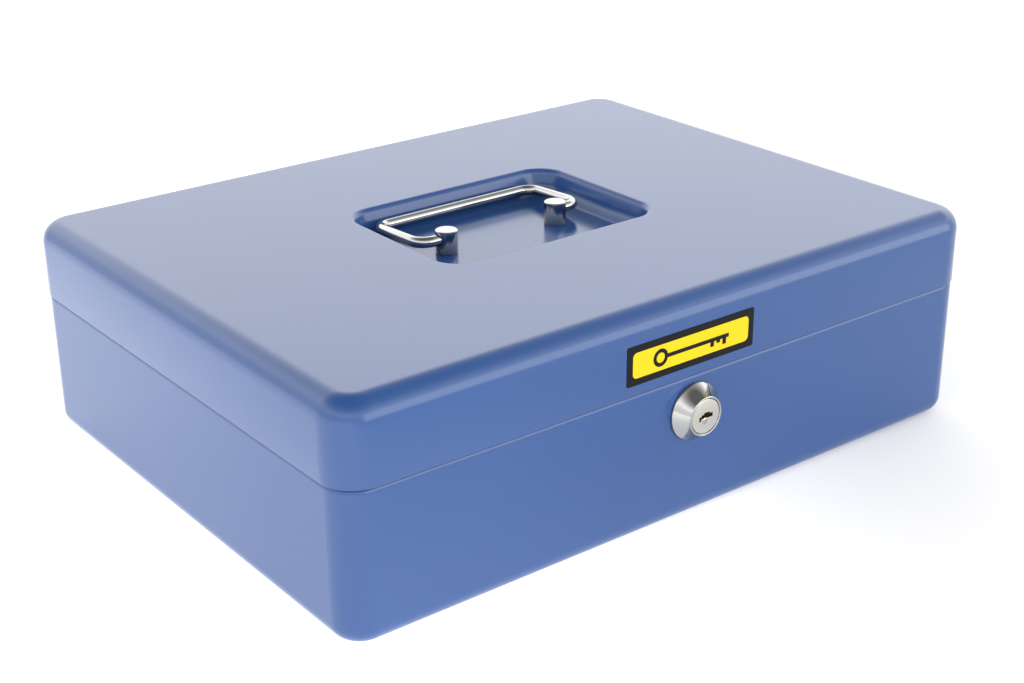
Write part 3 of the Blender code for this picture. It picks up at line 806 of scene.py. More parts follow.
# ---- handle ----------------------------------------------------------------
@dataclass
class BailHandle:
    """Bent wire bail, its two drilled posts and the washers under the recess."""

    chrome: bpy.types.Material
    zinc: bpy.types.Material
    wire: float = 2.25 * MM
    half_width: float = 39.5 * MM
    reach: float = 32.0 * MM
    bend: float = 6.0 * MM
    droop: float = 3.2
    pivot_z: float = 84.5 * MM
    end_x: float = 26.5 * MM
    post_x: float = 27.3 * MM
    post_radius: float = 4.5 * MM
    post_top: float = 88.0 * MM
    floor: float = 78.5 * MM

    def centreline(self) -> list[Point2]:
        """Centreline in the bail's own plane, from the left end to the right end."""
        half, reach, bend = self.half_width, self.reach, self.bend
        path: list[Point2] = [(-self.end_x, 0.0), (-half + bend + 0.4 * MM, 0.0)]
        path += arc((-half + bend, bend), bend, 270.0, 180.0, 14)
        path += arc((-half + bend, reach - bend), bend, 180.0, 90.0, 14)
        path += arc((half - bend, reach - bend), bend, 90.0, 0.0, 14)
        path += arc((half - bend, bend), bend, 0.0, -90.0, 14)
        path += [(half - bend - 0.4 * MM, 0.0), (self.end_x, 0.0)]
        return path

    def spot(self, x: float, reach: float, lift: float) -> Vector:
        """Place a point of the bail's plane at its drooping rest."""
        angle = math.radians(self.droop)
        y = reach * math.cos(angle) + lift * math.sin(angle)
        z = lift * math.cos(angle) - reach * math.sin(angle)
        return Vector((x, y, z + self.pivot_z))

    def build_wire(self) -> None:
        """Build the bent wire with its rounded ends."""
        path = [Vector(p) for p in self.centreline()]
        rings: list[Ring] = []
        for index, point in enumerate(path):
            along = (path[min(index + 1, len(path) - 1)] - path[max(index - 1, 0)]).normalized()
            out = Vector((-along.y, along.x))
            radii = [1.0]
            shifts = [0.0]
            if index == 0:
                radii, shifts = [0.55, 0.85, 1.0], [-0.30 * MM, -0.12 * MM, 0.15 * MM]
            if index == len(path) - 1:
                radii, shifts = [1.0, 0.85, 0.55], [-0.15 * MM, 0.12 * MM, 0.30 * MM]
            for scale, shift in zip(radii, shifts):
                ring = []
                for step in range(32):
                    angle = 2 * math.pi * step / 32
                    flat = point + along * shift + out * (self.wire * scale * math.cos(angle))
                    ring.append(self.spot(flat.x, flat.y, self.wire * scale * math.sin(angle)))
                rings.append(ring)
        bail = Form().skin(rings).make("bail_wire")
        dress(bail, self.chrome, 45.0)
        seat(bail, Body.BAIL, ["handle_bail"])

    def build_post(self, side: Side) -> None:
        """Build one post: turned, chamfered, drilled across and peened below.

        Args:
            side: Which post.
        """
        r, top, foot = self.post_radius, self.post_top, self.floor + 0.05 * MM
        under = self.floor - 2.2 * MM
        profile = [(0.0, top), (r - 0.55 * MM, top), (r - 0.22 * MM, top - 0.08 * MM), (r - 0.05 * MM, top - 0.25 * MM),
                   (r, top - 0.5 * MM), (r, foot + 0.35 * MM), (r - 0.12 * MM, foot + 0.08 * MM), (r - 0.25 * MM, foot),
                   (2.5 * MM, foot), (2.5 * MM, under), (3.6 * MM, under), (3.6 * MM, under - 0.6 * MM),
                   (3.0 * MM, under - 1.2 * MM), (1.8 * MM, under - 1.5 * MM), (0.0, under - 1.6 * MM)]
        post = Form().turned(profile, Vector((side.value * self.post_x, 0, 0)), ALONG_Z, 64)
        body = post.make("bail_post_" + side.word)
        inner = side.value * (self.end_x - 0.7 * MM)
        mouth = side.value * (self.post_x + self.post_radius)
        bore = self.wire + 0.2 * MM
        length = abs(mouth - inner)
        cutter = Form().turned([(0.0, 0.0), (bore, 0.0), (bore, length - 0.5 * MM), (bore + 0.15 * MM, length),
                                     (bore + 0.15 * MM, length + 2 * MM), (0.0, length + 2 * MM)],
                                    Vector((inner, 0, self.pivot_z)), Vector((side.value, 0, 0)), 48).make("cutter")
        combine(body, cutter)
        dress(body, self.chrome, 32.0)
        seat(body, Body.LID, ["handle_post_" + side.word])

    def build_washer(self, side: Side) -> None:
        """Build the washer under the recess floor.

        Args:
            side: Which post it belongs to.
        """
        low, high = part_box("post_washer_" + side.word)
        section = [(2.7 * MM, low.z), (4.9 * MM, low.z), (5.2 * MM, low.z + 0.25 * MM), (5.2 * MM, high.z - 0.1 * MM),
                   (5.1 * MM, high.z), (2.7 * MM, high.z)]
        washer = Form().turned(section, Vector((side.value * self.post_x, 0, 0)), ALONG_Z, 48)
        piece = dress(washer.make("bail_post_washer_" + side.word), self.zinc)
        seat(piece, Body.LID, ["post_washer_" + side.word])

    def build(self) -> None:
        """Build the whole handle."""
        self.build_wire()
        for side in Side:
            self.build_post(side)
            self.build_washer(side)


# ---- label -----------------------------------------------------------------
@dataclass
class FrontLabel:
    """Framed film label with a plain key outline."""

    black: bpy.types.Material
    yellow: bpy.types.Material
    low: Vector
    high: Vector
    frame_width: float = 2.6 * MM
    film: float = 0.22 * MM
    wall_y: float = -114.0 * MM

    def middle(self) -> Point2:
        """Middle of the label in X and Z."""
        return ((self.low.x + self.high.x) / 2, (self.low.z + self.high.z) / 2)

    def panel_outline(self, inset: float, radius: float) -> list[Point2]:
        """Rounded rectangle inside the label's edge.

        Args:
            inset: Distance from the label's edge.
            radius: Corner radius.

        Returns:
            (x, z) points.
        """
        half_x = (self.high.x - self.low.x) / 2 - inset
        half_z = (self.high.z - self.low.z) / 2 - inset
        return [(p.x, p.y) for p in rounded_ring(half_x, half_z, radius, 0.0, self.middle(), 8, 0.1 * MM)]

    def key_outline(self) -> bpy.types.Object:
        """Plain key: a ring bow, a shaft and square teeth."""
        cx, cz = self.middle()
        front = self.wall_y - self.film - 0.10 * MM
        back = self.wall_y - self.film - 0.02 * MM
        bow = (cx - 15.0 * MM, cz)
        inside, outside, deep = 1.95 * MM, 3.4 * MM, back - front
        section = [(inside, 0.0), (outside, 0.0), (outside, deep), (inside, deep)]
        ring = Form().turned(section, Vector((bow[0], front, bow[1])), ALONG_Y, 48).make("label_key")
        x0, x1, t = bow[0] + 3.0 * MM, cx + 18.0 * MM, 0.75 * MM
        teeth = [(x0, cz + t), (x0, cz - t)]
        for start, depth in ((0.70, 2.6), (0.80, 1.8), (0.90, 3.0)):
            a = x0 + (x1 - x0) * start
            teeth += [(a, cz - t), (a, cz - depth * MM), (a + 1.7 * MM, cz - depth * MM), (a + 1.7 * MM, cz - t)]
        teeth += [(x1, cz - t), (x1, cz + t)]
        shaft = Form().prism(teeth, front, back).make("shaft")
        return combine(ring, shaft, "UNION")

    def build(self) -> None:
        """Build the frame, the panel and the key."""
        face = self.wall_y
        edge = self.panel_outline(0.0, 0.8 * MM)
        border = Form().prism(edge, face - self.film, face - 0.01 * MM).make("label_frame")
        opening = self.panel_outline(self.frame_width, 1.9 * MM)
        window = Form().prism(opening, face - 1 * MM, face + 1 * MM).make("window")
        combine(border, window)
        seat(dress(border, self.black, 25.0), Body.LID, ["label_border"])
        panel = Form().prism(self.panel_outline(self.frame_width + 0.01 * MM, 1.9 * MM), face - self.film,
                                   face - 0.01 * MM).make("label_face")
        seat(dress(panel, self.yellow, 25.0), Body.LID, ["label_panel"])
        seat(dress(self.key_outline(), self.black, 25.0), Body.LID)


# ---- lock ------------------------------------------------------------------
@dataclass
class CamLock:
    """Cam lock: collar, barrel, washer, nut, plug, cam and the wafers in the keyway."""

    shelf: FinishShelf
    axis_z: float
    front: float
    seat_y: float
    rear: float
    collar: float = 11.3 * MM
    face: float = 7.75 * MM
    barrel: float = 8.0 * MM
    bore: float = 6.85 * MM
    plug_radius: float = 6.7 * MM

    @property
    def origin(self) -> Vector:
        """Point on the lock's axis at Y zero."""
        return Vector((0.0, 0.0, self.axis_z))

    def build_housing(self) -> None:
        """Build the conical collar and its threaded barrel in one turning."""
        front, back = self.front, self.seat_y
        lip = arc((self.face - 0.45 * MM, front + 0.45 * MM), 0.45 * MM, 270.0, 360.0, 5)
        profile = [(self.bore, front + 0.35 * MM), (self.bore + 0.12 * MM, front + 0.1 * MM), (self.bore + 0.3 * MM, front)]
        profile += [(r, h) for r, h in lip]
        profile += [(self.collar - 0.5 * MM, back - 1.45 * MM), (self.collar - 0.12 * MM, back - 1.15 * MM),
                    (self.collar, back - 0.8 * MM), (self.collar, back - 0.2 * MM), (self.collar - 0.15 * MM, back)]
        profile.append((self.barrel - 0.3 * MM, back))
        pitch = 1.0 * MM
        y = back + 1.2 * MM
        while y < self.rear - 1.2 * MM:
            profile += [(self.barrel - 0.45 * MM, y), (self.barrel, y + 0.35 * pitch), (self.barrel, y + 0.5 * pitch)]
            y += pitch
        profile += [(self.barrel - 0.5 * MM, self.rear), (self.bore, self.rear)]
        housing = Form().turned(profile, self.origin, ALONG_Y, 96).make("lock_collar")
        dress(housing, self.shelf.chrome, 38.0)
        seat(housing, Body.BASE, ["lock_housing"])

    def keyway(self) -> list[Point2]:
        """Stepped keyway outline about the lock's axis."""
        steps = [(-3.2, -1.5), (-2.3, -1.5), (-2.3, -0.7), (-1.1, -0.7), (-1.1, -1.1), (0.4, -1.1), (0.4, -0.7),
                 (3.3, -0.7), (3.3, 0.9), (1.8, 0.9), (1.8, 1.5), (-0.9, 1.5), (-0.9, 0.9), (-2.1, 0.9),
                 (-2.1, 0.3), (-3.2, 0.3)]
        return [(x * MM, self.axis_z + z * MM) for x, z in steps]

    def build_plug(self) -> None:
        """Build the plug, its keyway and the boss behind it."""
        front = self.front + 0.25 * MM
        low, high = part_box("lock_plug")
        r = self.plug_radius
        profile = [(0.0, front), (r - 0.3 * MM, front), (r - 0.08 * MM, front + 0.08 * MM), (r, front + 0.3 * MM),
                   (r, self.rear + 0.4 * MM), (3.0 * MM, self.rear + 0.4 * MM), (3.0 * MM, high.y - 0.3 * MM),
                   (2.7 * MM, high.y), (0.0, high.y)]
        plug = Form().turned(profile, self.origin, ALONG_Y, 96).make("lock_cylinder")
        slot = Form().prism(self.keyway(), front - 2 * MM, front + 12 * MM).make("slot")
        combine(plug, slot)
        dress(plug, self.shelf.faced, 32.0)
        seat(plug, Body.PLUG, ["lock_plug"])
        dome = [(0.0, -0.30 * MM), (0.6 * MM, -0.27 * MM), (1.1 * MM, -0.16 * MM), (1.4 * MM, 0.05 * MM),
                (1.4 * MM, 0.4 * MM), (0.0, 0.4 * MM)]
        spot = Vector((-0.5 * MM, front, self.axis_z - 1.7 * MM))
        pin = Form().turned(dome, spot, ALONG_Y, 32).make("lock_drill_stop")
        seat(dress(pin, self.shelf.chrome, 60.0), Body.PLUG)

    def build_wafers(self) -> None:
        """Line the keyway with thin wafers, repeated along the plug."""
        tree, given = open_tree("wafer_stack", {"Count": "Int", "Start": "Vector", "Pitch": "Vector",
                                                "Wafer Size": "Vector"})
        row = add_node(tree, "GeometryNodeMeshLine", links={
            "Count": given.outputs["Count"], "Start Location": given.outputs["Start"],
            "Offset": given.outputs["Pitch"]})
        wafer = add_node(tree, "GeometryNodeMeshCube", links={"Size": given.outputs["Wafer Size"]})
        laid = add_node(tree, "GeometryNodeInstanceOnPoints", links={"Points": row.outputs["Mesh"],
                                                                     "Instance": wafer.outputs["Mesh"]})
        close_tree(tree, given, laid.outputs["Instances"])
        start = (0.3 * MM, self.front + 3.2 * MM, self.axis_z + 0.1 * MM)
        piece = run_tree("lock_wafers", tree, {
            "Count": 5, "Start": start, "Pitch": (0.0, 1.7 * MM, 0.0),
            "Wafer Size": (7.4 * MM, 0.5 * MM, 1.1 * MM), "Finish": self.shelf.brass})
        seat(piece, Body.PLUG)

    def build_ring(self, name: str, node: str, hole: float) -> None:
        """Build a round washer in the place of a frame node.

        Args:
            name: Name of the piece.
            node: Frame node that it stands for.
            hole: Radius of its hole.
        """
        low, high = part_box(node)
        radius = (high.x - low.x) / 2
        c = 0.15 * MM
        profile = [(hole, low.y), (radius - c, low.y), (radius, low.y + c), (radius, high.y - c), (radius - c, high.y),
                   (hole, high.y)]
        ring = Form().turned(profile, self.origin, ALONG_Y, 64).make(name)
        seat(dress(ring, self.shelf.zinc), Body.BASE, [node])

    def build_nut(self, name: str, node: str, hole: float, body: Body) -> None:
        """Build a chamfered hexagon nut in the place of a frame node.

        Args:
            name: Name of the piece.
            node: Frame node that it stands for.
            hole: Radius of its hole.
            body: Body that it rides on.
        """
        low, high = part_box(node)
        radius = (high.x - low.x) / 2
        flat = (high.z - low.z) / 2
        outline = [(radius * math.cos(math.pi / 3 * i), self.axis_z + radius * math.sin(math.pi / 3 * i)) for i in range(6)]
        nut = Form().prism(outline, low.y, high.y).make(name)
        c = radius - flat
        crown = Form().turned([(0.0, low.y - 1 * MM), (flat + 0.1 * MM, low.y - 1 * MM), (flat + 0.1 * MM, low.y),
                                     (radius + 0.2 * MM, low.y + c * 0.6), (radius + 0.2 * MM, high.y - c * 0.6),
                                     (flat + 0.1 * MM, high.y), (flat + 0.1 * MM, high.y + 1 * MM), (0.0, high.y + 1 * MM)],
                                    self.origin, ALONG_Y, 64).make("crown")
        combine(nut, crown, "INTERSECT")
        bore = Form().turned([(0.0, low.y - 1 * MM), (hole + 0.5 * MM, low.y - 1 * MM), (hole + 0.5 * MM, low.y),
                                    (hole, low.y + 0.5 * MM), (hole, high.y - 0.5 * MM), (hole + 0.5 * MM, high.y),
                                    (hole + 0.5 * MM, high.y + 1 * MM), (0.0, high.y + 1 * MM)],
                                   self.origin, ALONG_Y, 64).make("bore")
        combine(nut, bore)
        seat(dress(nut, self.shelf.zinc), body, [node])

    def build_cam(self) -> None:
        """Build the cam arm with rounded edges."""
        low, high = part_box("lock_cam")
        half = (high.x - low.x) / 2
        outline = arc((0.0, self.axis_z), half, 180.0, 360.0, 24)
        tip = high.z
        outline += arc((half - 3 * MM, tip - 3 * MM), 3 * MM, 0.0, 90.0, 8)
        outline += arc((-half + 3 * MM, tip - 3 * MM), 3 * MM, 90.0, 180.0, 8)
        cam = Form().prism(outline, low.y, high.y).make("cam_arm")
        drill(cam, 3.15 * MM, (low.y - 1 * MM, high.y + 1 * MM), self.origin, ALONG_Y, 48)
        soften_edges(cam, 0.25, 2)
        seat(dress(cam, self.shelf.zinc), Body.PLUG, ["lock_cam"])

    def build(self) -> None:
        """Build every piece of the lock."""
        self.build_housing()
        self.build_plug()
        self.build_wafers()
        self.build_ring("lock_shim", "lock_washer", 8.1 * MM)
        self.build_nut("lock_back_nut", "lock_nut", 8.05 * MM, Body.BASE)
        self.build_cam()
        self.build_nut("cam_back_nut", "cam_nut", 3.05 * MM, Body.PLUG)


def open_tree(name: str, inputs: dict[str, str]) -> tuple[bpy.types.NodeTree, bpy.types.Node]:
    """Start a geometry tree with named inputs and a finish.

    Args:
        name: Name of the tree.
        inputs: Kind of each input by its name, such as {"Count": "Int"}.

    Returns:
        The tree and its input node.
    """
    tree = bpy.data.node_groups.new(name, "GeometryNodeTree")
    tree.interface.new_socket("Geometry", in_out="INPUT", socket_type="NodeSocketGeometry")
    for label, kind in {**inputs, "Finish": "Material"}.items():
        tree.interface.new_socket(label, in_out="INPUT", socket_type="NodeSocket" + kind)
    tree.interface.new_socket("Geometry", in_out="OUTPUT", socket_type="NodeSocketGeometry")
    return tree, add_node(tree, "NodeGroupInput")


def close_tree(tree: bpy.types.NodeTree, given: bpy.types.Node, instances: bpy.types.NodeSocket) -> None:
    """End a geometry tree: make the instances real and set their finish.

    Args:
        tree: Geometry node tree.
        given: Its input node.
        instances: Socket with the instances.
    """
    real = add_node(tree, "GeometryNodeRealizeInstances", links={"Geometry": instances})
    dressed = add_node(tree, "GeometryNodeSetMaterial", links={"Geometry": real.outputs["Geometry"],
                                                               "Material": given.outputs["Finish"]})
    add_node(tree, "NodeGroupOutput", links={"Geometry": dressed.outputs["Geometry"]})


def run_tree(name: str, tree: bpy.types.NodeTree, inputs: dict) -> bpy.types.Object:
    """Run a geometry tree on a new piece and keep its result as a plain mesh.

    Args:
        name: Name of the piece.
        tree: Geometry node tree.
        inputs: Values by the input's name.

    Returns:
        The new piece.
    """
    piece = Form([Vector((0.0, 0.0, 0.0))]).make(name)
    modifier = piece.modifiers.new("tree", "NODES")
    modifier.node_group = tree
    sockets = {item.name: item.identifier for item in tree.interface.items_tree
               if item.item_type == "SOCKET" and item.in_out == "INPUT"}
    for label, value in inputs.items():
        modifier[sockets[label]] = value
    bake_modifiers(piece)
    return piece


# ---- keeper and hinges -----------------------------------------------------
@dataclass
class Keeper:
    """Folded strap on the lid that the cam reaches over."""

    zinc: bpy.types.Material
    thick: float = 1.0 * MM
    bend: float = 1.6 * MM

    def corner(self, point: Point2, turn_from: float, turn_to: float, outer: bool) -> list[Point2]:
        """Rounded corner of the strap's section.

        Args:
            point: Centre of the bend.
            turn_from: First angle in degrees.
            turn_to: Last angle in degrees.
            outer: Whether this is the outer side of the bend.

        Returns:
            Points on the bend.
        """
        return arc(point, self.bend if outer else self.bend - self.thick, turn_from, turn_to, 6)

    def build(self) -> None:
        """Build the strap by extruding its folded section."""
        low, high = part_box("lock_keeper")
        t, b = self.thick, self.bend
        wall, rear, shelf, top = low.y, high.y, low.z, high.z
        leg = rear - 8.5 * MM
        over = 67.6 * MM
        outline: list[Point2] = [(wall, top)]
        outline += self.corner((wall + b, over + b), 180.0, 270.0, True)
        outline += [(leg, over)]
        outline += self.corner((leg + b, shelf + b), 180.0, 270.0, True)
        outline += [(rear, shelf), (rear, shelf + t)]
        outline += self.corner((leg + b, shelf + b), 270.0, 180.0, False)
        outline += self.corner((leg + t - b, over + t - b), 0.0, 90.0, True)
        outline += self.corner((wall + b, over + b), 270.0, 180.0, False)
        outline += [(wall + t, top)]
        strap = Form().prism(outline, low.x, high.x, "X").make("keeper_strap")
        soften_edges(strap, 0.15, 1, 60.0)
        seat(dress(strap, self.zinc, 40.0), Body.LID, ["lock_keeper"])


@dataclass
class RearHinges:
    """Two riveted barrel hinges on the rear seam."""

    paint: bpy.types.Material
    zinc: bpy.types.Material
    pitch: float = 190.0 * MM
    rivet_pitch: float = 19.0 * MM
    head: float = 2.0 * MM
    shank: float = 1.0 * MM

    def rivet_form(self, face: float) -> bpy.types.Object:
        """Shape of one rivet with its middle on the leaf's outer face.

        Args:
            face: Distance from the leaf's outer face to the sheet's inner face.

        Returns:
            A loose object for the tree to repeat.
        """
        dome = arc((0.0, 0.0), 1.0, 90.0, 0.0, 7)
        profile = [(self.head * c, 0.95 * MM * s + 0.05 * MM) for c, s in dome]
        profile += [(self.head, 0.0), (self.shank, 0.0), (self.shank, -face), (self.head, -face)]
        profile += [(self.head * 0.85, -face - 0.4 * MM), (self.head * 0.5, -face - 0.6 * MM), (0.0, -face - 0.6 * MM)]
        return Form().turned(profile, Vector((0, 0, 0)), ALONG_Y, 32).make("rivet_form")

    def rivet_tree(self) -> bpy.types.NodeTree:
        """Tree that sets a pair of rivets on each of the two hinges."""
        tree, given = open_tree("rivet_rows", {"Rivet": "Object", "First": "Vector", "Hinge Pitch": "Vector",
                                               "Rivet Pitch": "Vector"})
        hinges = add_node(tree, "GeometryNodeMeshLine", values={"Count": 2}, links={
            "Start Location": given.outputs["First"], "Offset": given.outputs["Hinge Pitch"]})
        pair = add_node(tree, "GeometryNodeMeshLine", values={"Count": 2},
                        links={"Offset": given.outputs["Rivet Pitch"]})
        rows = add_node(tree, "GeometryNodeInstanceOnPoints", links={"Points": hinges.outputs["Mesh"],
                                                                     "Instance": pair.outputs["Mesh"]})
        spots = add_node(tree, "GeometryNodeRealizeInstances", links={"Geometry": rows.outputs["Instances"]})
        form = add_node(tree, "GeometryNodeObjectInfo", links={"Object": given.outputs["Rivet"]})
        laid = add_node(tree, "GeometryNodeInstanceOnPoints", links={"Points": spots.outputs["Geometry"],
                                                                     "Instance": form.outputs["Geometry"]})
        close_tree(tree, given, laid.outputs["Instances"])
        return tree

    def build_rivets(self, part: str, body: Body, tree: bpy.types.NodeTree) -> None:
        """Set the four rivets of one body's leaves.

        Args:
            part: "lid" or "base".
            body: Body that they ride on.
            tree: Tree that repeats the rivet.
        """
        names = [f"hinge_{part}_rivet_{side.word}_{hand}" for side in Side for hand in "ab"]
        low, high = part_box(names[0])
        face = (114.0 if part == "lid" else 113.2) * MM + 1.1 * MM
        form = self.rivet_form(face - low.y - 0.6 * MM)
        piece = run_tree(f"{part}_leaf_rivets", tree, {
            "Rivet": form, "First": ((low.x + high.x) / 2, face, (low.z + high.z) / 2),
            "Hinge Pitch": (self.pitch, 0.0, 0.0), "Rivet Pitch": (self.rivet_pitch, 0.0, 0.0), "Finish": self.zinc})
        bpy.data.objects.remove(form, do_unlink=True)
        seat(dress(piece, self.zinc, 40.0), body, names)

    def build_leaf(self, part: str, side: Side, body: Body) -> None:
        """Build one leaf: a plate with round corners, its knuckles and their webs.

        Args:
            part: "lid" or "base".
            side: Which hinge.
            body: Body that the leaf rides on.
        """
        node = f"hinge_{part}_leaf_{side.word}"
        low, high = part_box(node)
        pin_low, pin_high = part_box("hinge_pin_" + side.word)
        axis = ((pin_low.y + pin_high.y) / 2, (pin_low.z + pin_high.z) / 2)
        radius = 2.2 * MM
        face = low.y
        if part == "lid":
            plate_low, plate_high, sign = 60.3 * MM, high.z, 1.0
        else:
            plate_low, plate_high, sign = low.z, 53.6 * MM, -1.0
        middle = ((low.x + high.x) / 2, (plate_low + plate_high) / 2)
        ring = rounded_ring((high.x - low.x) / 2, (plate_high - plate_low) / 2, 1.6 * MM, 0.0, middle, 8, 0.1 * MM)
        leaf = Form().prism([(p.x, p.y) for p in ring], face, face + 0.8 * MM).make(f"{part}_leaf_{side.word}")
        third = (high.x - low.x) / 3
        spans = ((third, 2 * third),) if part == "lid" else ((0.0, third - 0.3 * MM), (2 * third + 0.3 * MM, 3 * third))
        reach = plate_low if part == "lid" else plate_high
        for start, end in spans:
            tube = Form().prism(arc(axis, radius, 0.0, 352.5, 47), low.x + start, low.x + end, "X").make("tube")
            web = [(face, reach + sign * 1.8 * MM), (face, reach - sign * 0.2 * MM),
                   (axis[0] - radius * 0.97, axis[1] - sign * 0.2 * MM), (axis[0], axis[1] - sign * 0.2 * MM),
                   (axis[0], axis[1] + sign * 2.1 * MM), (axis[0] - 0.7 * MM, axis[1] + sign * 2.3 * MM),
                   (face + 0.8 * MM, reach + sign * 1.8 * MM)]
            arm = Form().prism(web, low.x + start + 0.01 * MM, low.x + end - 0.01 * MM, "X").make("web")
            combine(leaf, tube, "UNION")
            combine(leaf, arm, "UNION")
        drill(leaf, 1.3 * MM, (-1 * MM, 32 * MM), Vector((low.x, *axis)), ALONG_X, 32)
        seat(dress(leaf, self.paint, 35.0), body, [node])

    def build_pin(self, side: Side) -> None:
        """Build the headed pin.

        Args:
            side: Which hinge.
        """
        node = "hinge_pin_" + side.word
        low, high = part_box(node)
        length = high.x - low.x
        profile = [(0.0, 0.0), (1.2 * MM, 0.05 * MM), (1.6 * MM, 0.4 * MM), (1.6 * MM, 0.9 * MM), (1.0 * MM, 0.9 * MM),
                   (1.0 * MM, length - 0.3 * MM), (0.8 * MM, length), (0.0, length)]
        origin = Vector((low.x, (low.y + high.y) / 2, (low.z + high.z) / 2))
        pin = Form().turned(profile, origin, ALONG_X, 32).make("pintle_" + side.word)
        seat(dress(pin, self.zinc), Body.BASE, [node])

    def build(self) -> None:
        """Build both hinges."""
        tree = self.rivet_tree()
        for part, body in (("base", Body.BASE), ("lid", Body.LID)):
            self.build_rivets(part, body, tree)
            for side in Side:
                self.build_leaf(part, side, body)
        for side in Side:
            self.build_pin(side)


# ---- coin tray -------------------------------------------------------------
@dataclass
class Cell:
    """One compartment of the tray."""

    x0: float
    x1: float
    y0: float
    y1: float
    floor: float
    cup: bool


@dataclass
class CoinTray:
    """Moulded tray: note bays behind, coin cups in front and a notch for the lock."""

    plastic: bpy.types.Material
    low: Vector
    high: Vector
    body_x: float = 143.5 * MM
    body_y: float = 107.5 * MM
    wall: float = 1.6 * MM
    notch_half: float = 34.5 * MM
    notch_depth: float = 31.0 * MM
    flange_corner: float = 18.0 * MM
    cup_depth: float = 30.0 * MM
    cup_round: float = 12.7 * MM
    joint_y: float = -16.6 * MM
    corner: float = 8.4 * MM
    foot: float = 3.0 * MM
    lip: float = 0.5 * MM

    def cells(self) -> list[Cell]:
        """Lay out every compartment.

        Returns:
            The cups, the middle cup and the note bays.
        """
        wall, floor = self.wall, self.low.z + self.wall
        left = -self.body_x + wall
        inner = self.notch_half + wall
        front = -self.body_y + wall
        rear = self.joint_y - 0.3 * MM - wall
        span = (-inner - left - 2 * wall) / 3
        cells = []
        for side in Side:
            for index in range(3):
                start = left + index * (span + wall)
                x0, x1 = (start, start + span) if side is Side.LEFT else (-start - span, -start)
                cells.append(Cell(x0, x1, front, rear, self.high.z - self.cup_depth, True))
        half = self.notch_half - 0.3 * MM - wall
        cells.append(Cell(-half, half, -self.body_y + self.notch_depth + wall, rear, floor, False))
        width = (2 * (self.body_x - wall) - 3 * wall) / 4
        for index in range(4):
            x0 = left + index * (width + wall)
            cells.append(Cell(x0, x0 + width, self.joint_y + wall, self.body_y - wall, floor, False))
        return cells

    def rows(self, cell: Cell) -> list[tuple[float, float, float]]:
        """Insets and heights of one compartment's rings.

        Args:
            cell: The compartment.

        Returns:
            (inset in X, inset in Y, Z) from the floor to the flared mouth.
        """
        half_x = (cell.x1 - cell.x0) / 2
        rows = []
        if cell.cup:
            for step in range(17):
                angle = math.pi / 2 * (0.10 + 0.90 * step / 16)
                rise = self.cup_round * (1 - math.cos(angle))
                low = min(1.0, rise / self.foot)
                end = self.foot * (1 - math.sqrt(max(0.0, 1 - (1 - low) ** 2)))
                rows.append((half_x - (half_x - 0.1 * MM) * math.sin(angle), end, cell.floor + rise))
        else:
            for step in range(9):
                angle = math.pi / 2 * step / 8
                inset = self.foot * (1 - math.sin(angle))
                rows.append((inset, inset, cell.floor + self.foot * (1 - math.cos(angle))))
        top = self.high.z
        rows.append((0.0, 0.0, rows[-1][2] + 0.8 * MM))
        for step in range(6):
            angle = math.pi / 2 * step / 5
            flare = self.lip * (1 - math.cos(angle))
            rows.append((-flare, -flare, top - self.lip * (1 - math.sin(angle))))
        rows.append((-self.lip, -self.lip, top + 3 * MM))
        return rows

    def cutter(self, cell: Cell) -> bpy.types.Object:
        """Space of one compartment, with a rounded foot and a flared mouth.

        Args:
            cell: The compartment.

        Returns:
            A closed object to cut with.
        """
        half_x, half_y = (cell.x1 - cell.x0) / 2, (cell.y1 - cell.y0) / 2
        centre = ((cell.x0 + cell.x1) / 2, (cell.y0 + cell.y1) / 2)
        rings = []
        for inset_x, inset_y, z in self.rows(cell):
            width = half_x - inset_x
            radius = min(self.corner - min(inset_x, 0.0), 0.95 * width)
            rings.append(rounded_ring(width, half_y - inset_y, radius, z, centre, 10, 0.02 * MM))
        return Form().skin(rings).make("cell")

    def build(self) -> None:
        """Build the tray and seat it."""
        seat_z = self.high.z - self.wall
        rings = []
        for step in range(7):
            angle = math.pi / 2 * step / 6
            inset = self.foot * (1 - math.sin(angle))
            z = self.low.z + self.foot * (1 - math.cos(angle))
            rings.append(rounded_ring(self.body_x - inset, self.body_y - inset, 10.0 * MM - inset, z))
        rings.append(rounded_ring(self.body_x, self.body_y, 10.0 * MM, seat_z))
        for inset, z in ((0.1, seat_z), (0.0, seat_z + 0.1 * MM), (0.0, self.high.z - 0.5 * MM),
                         (0.07, self.high.z - 0.25 * MM), (0.2, self.high.z - 0.08 * MM), (0.5, self.high.z)):
            inset *= MM
            rings.append(rounded_ring(self.high.x - inset, self.high.y - inset, self.flange_corner - inset, z))
        tray = Form().skin(rings).make("coin_insert")
        back = -self.body_y + self.notch_depth
        ring = rounded_ring(self.notch_half, 30.0 * MM, 2.0 * MM, 0.02, (0.0, back - 30.0 * MM), 8)
        notch = Form().skin([ring, [Vector((p.x, p.y, 0.08)) for p in ring]]).make("notch")
        combine(tray, notch)
        for cell in self.cells():
            combine(tray, self.cutter(cell))
        names = ["coin_tray_" + part for part in ("rear", "left", "right", "centre")]
        seat(dress(tray, self.plastic, 35.0), Body.TRAY, names)


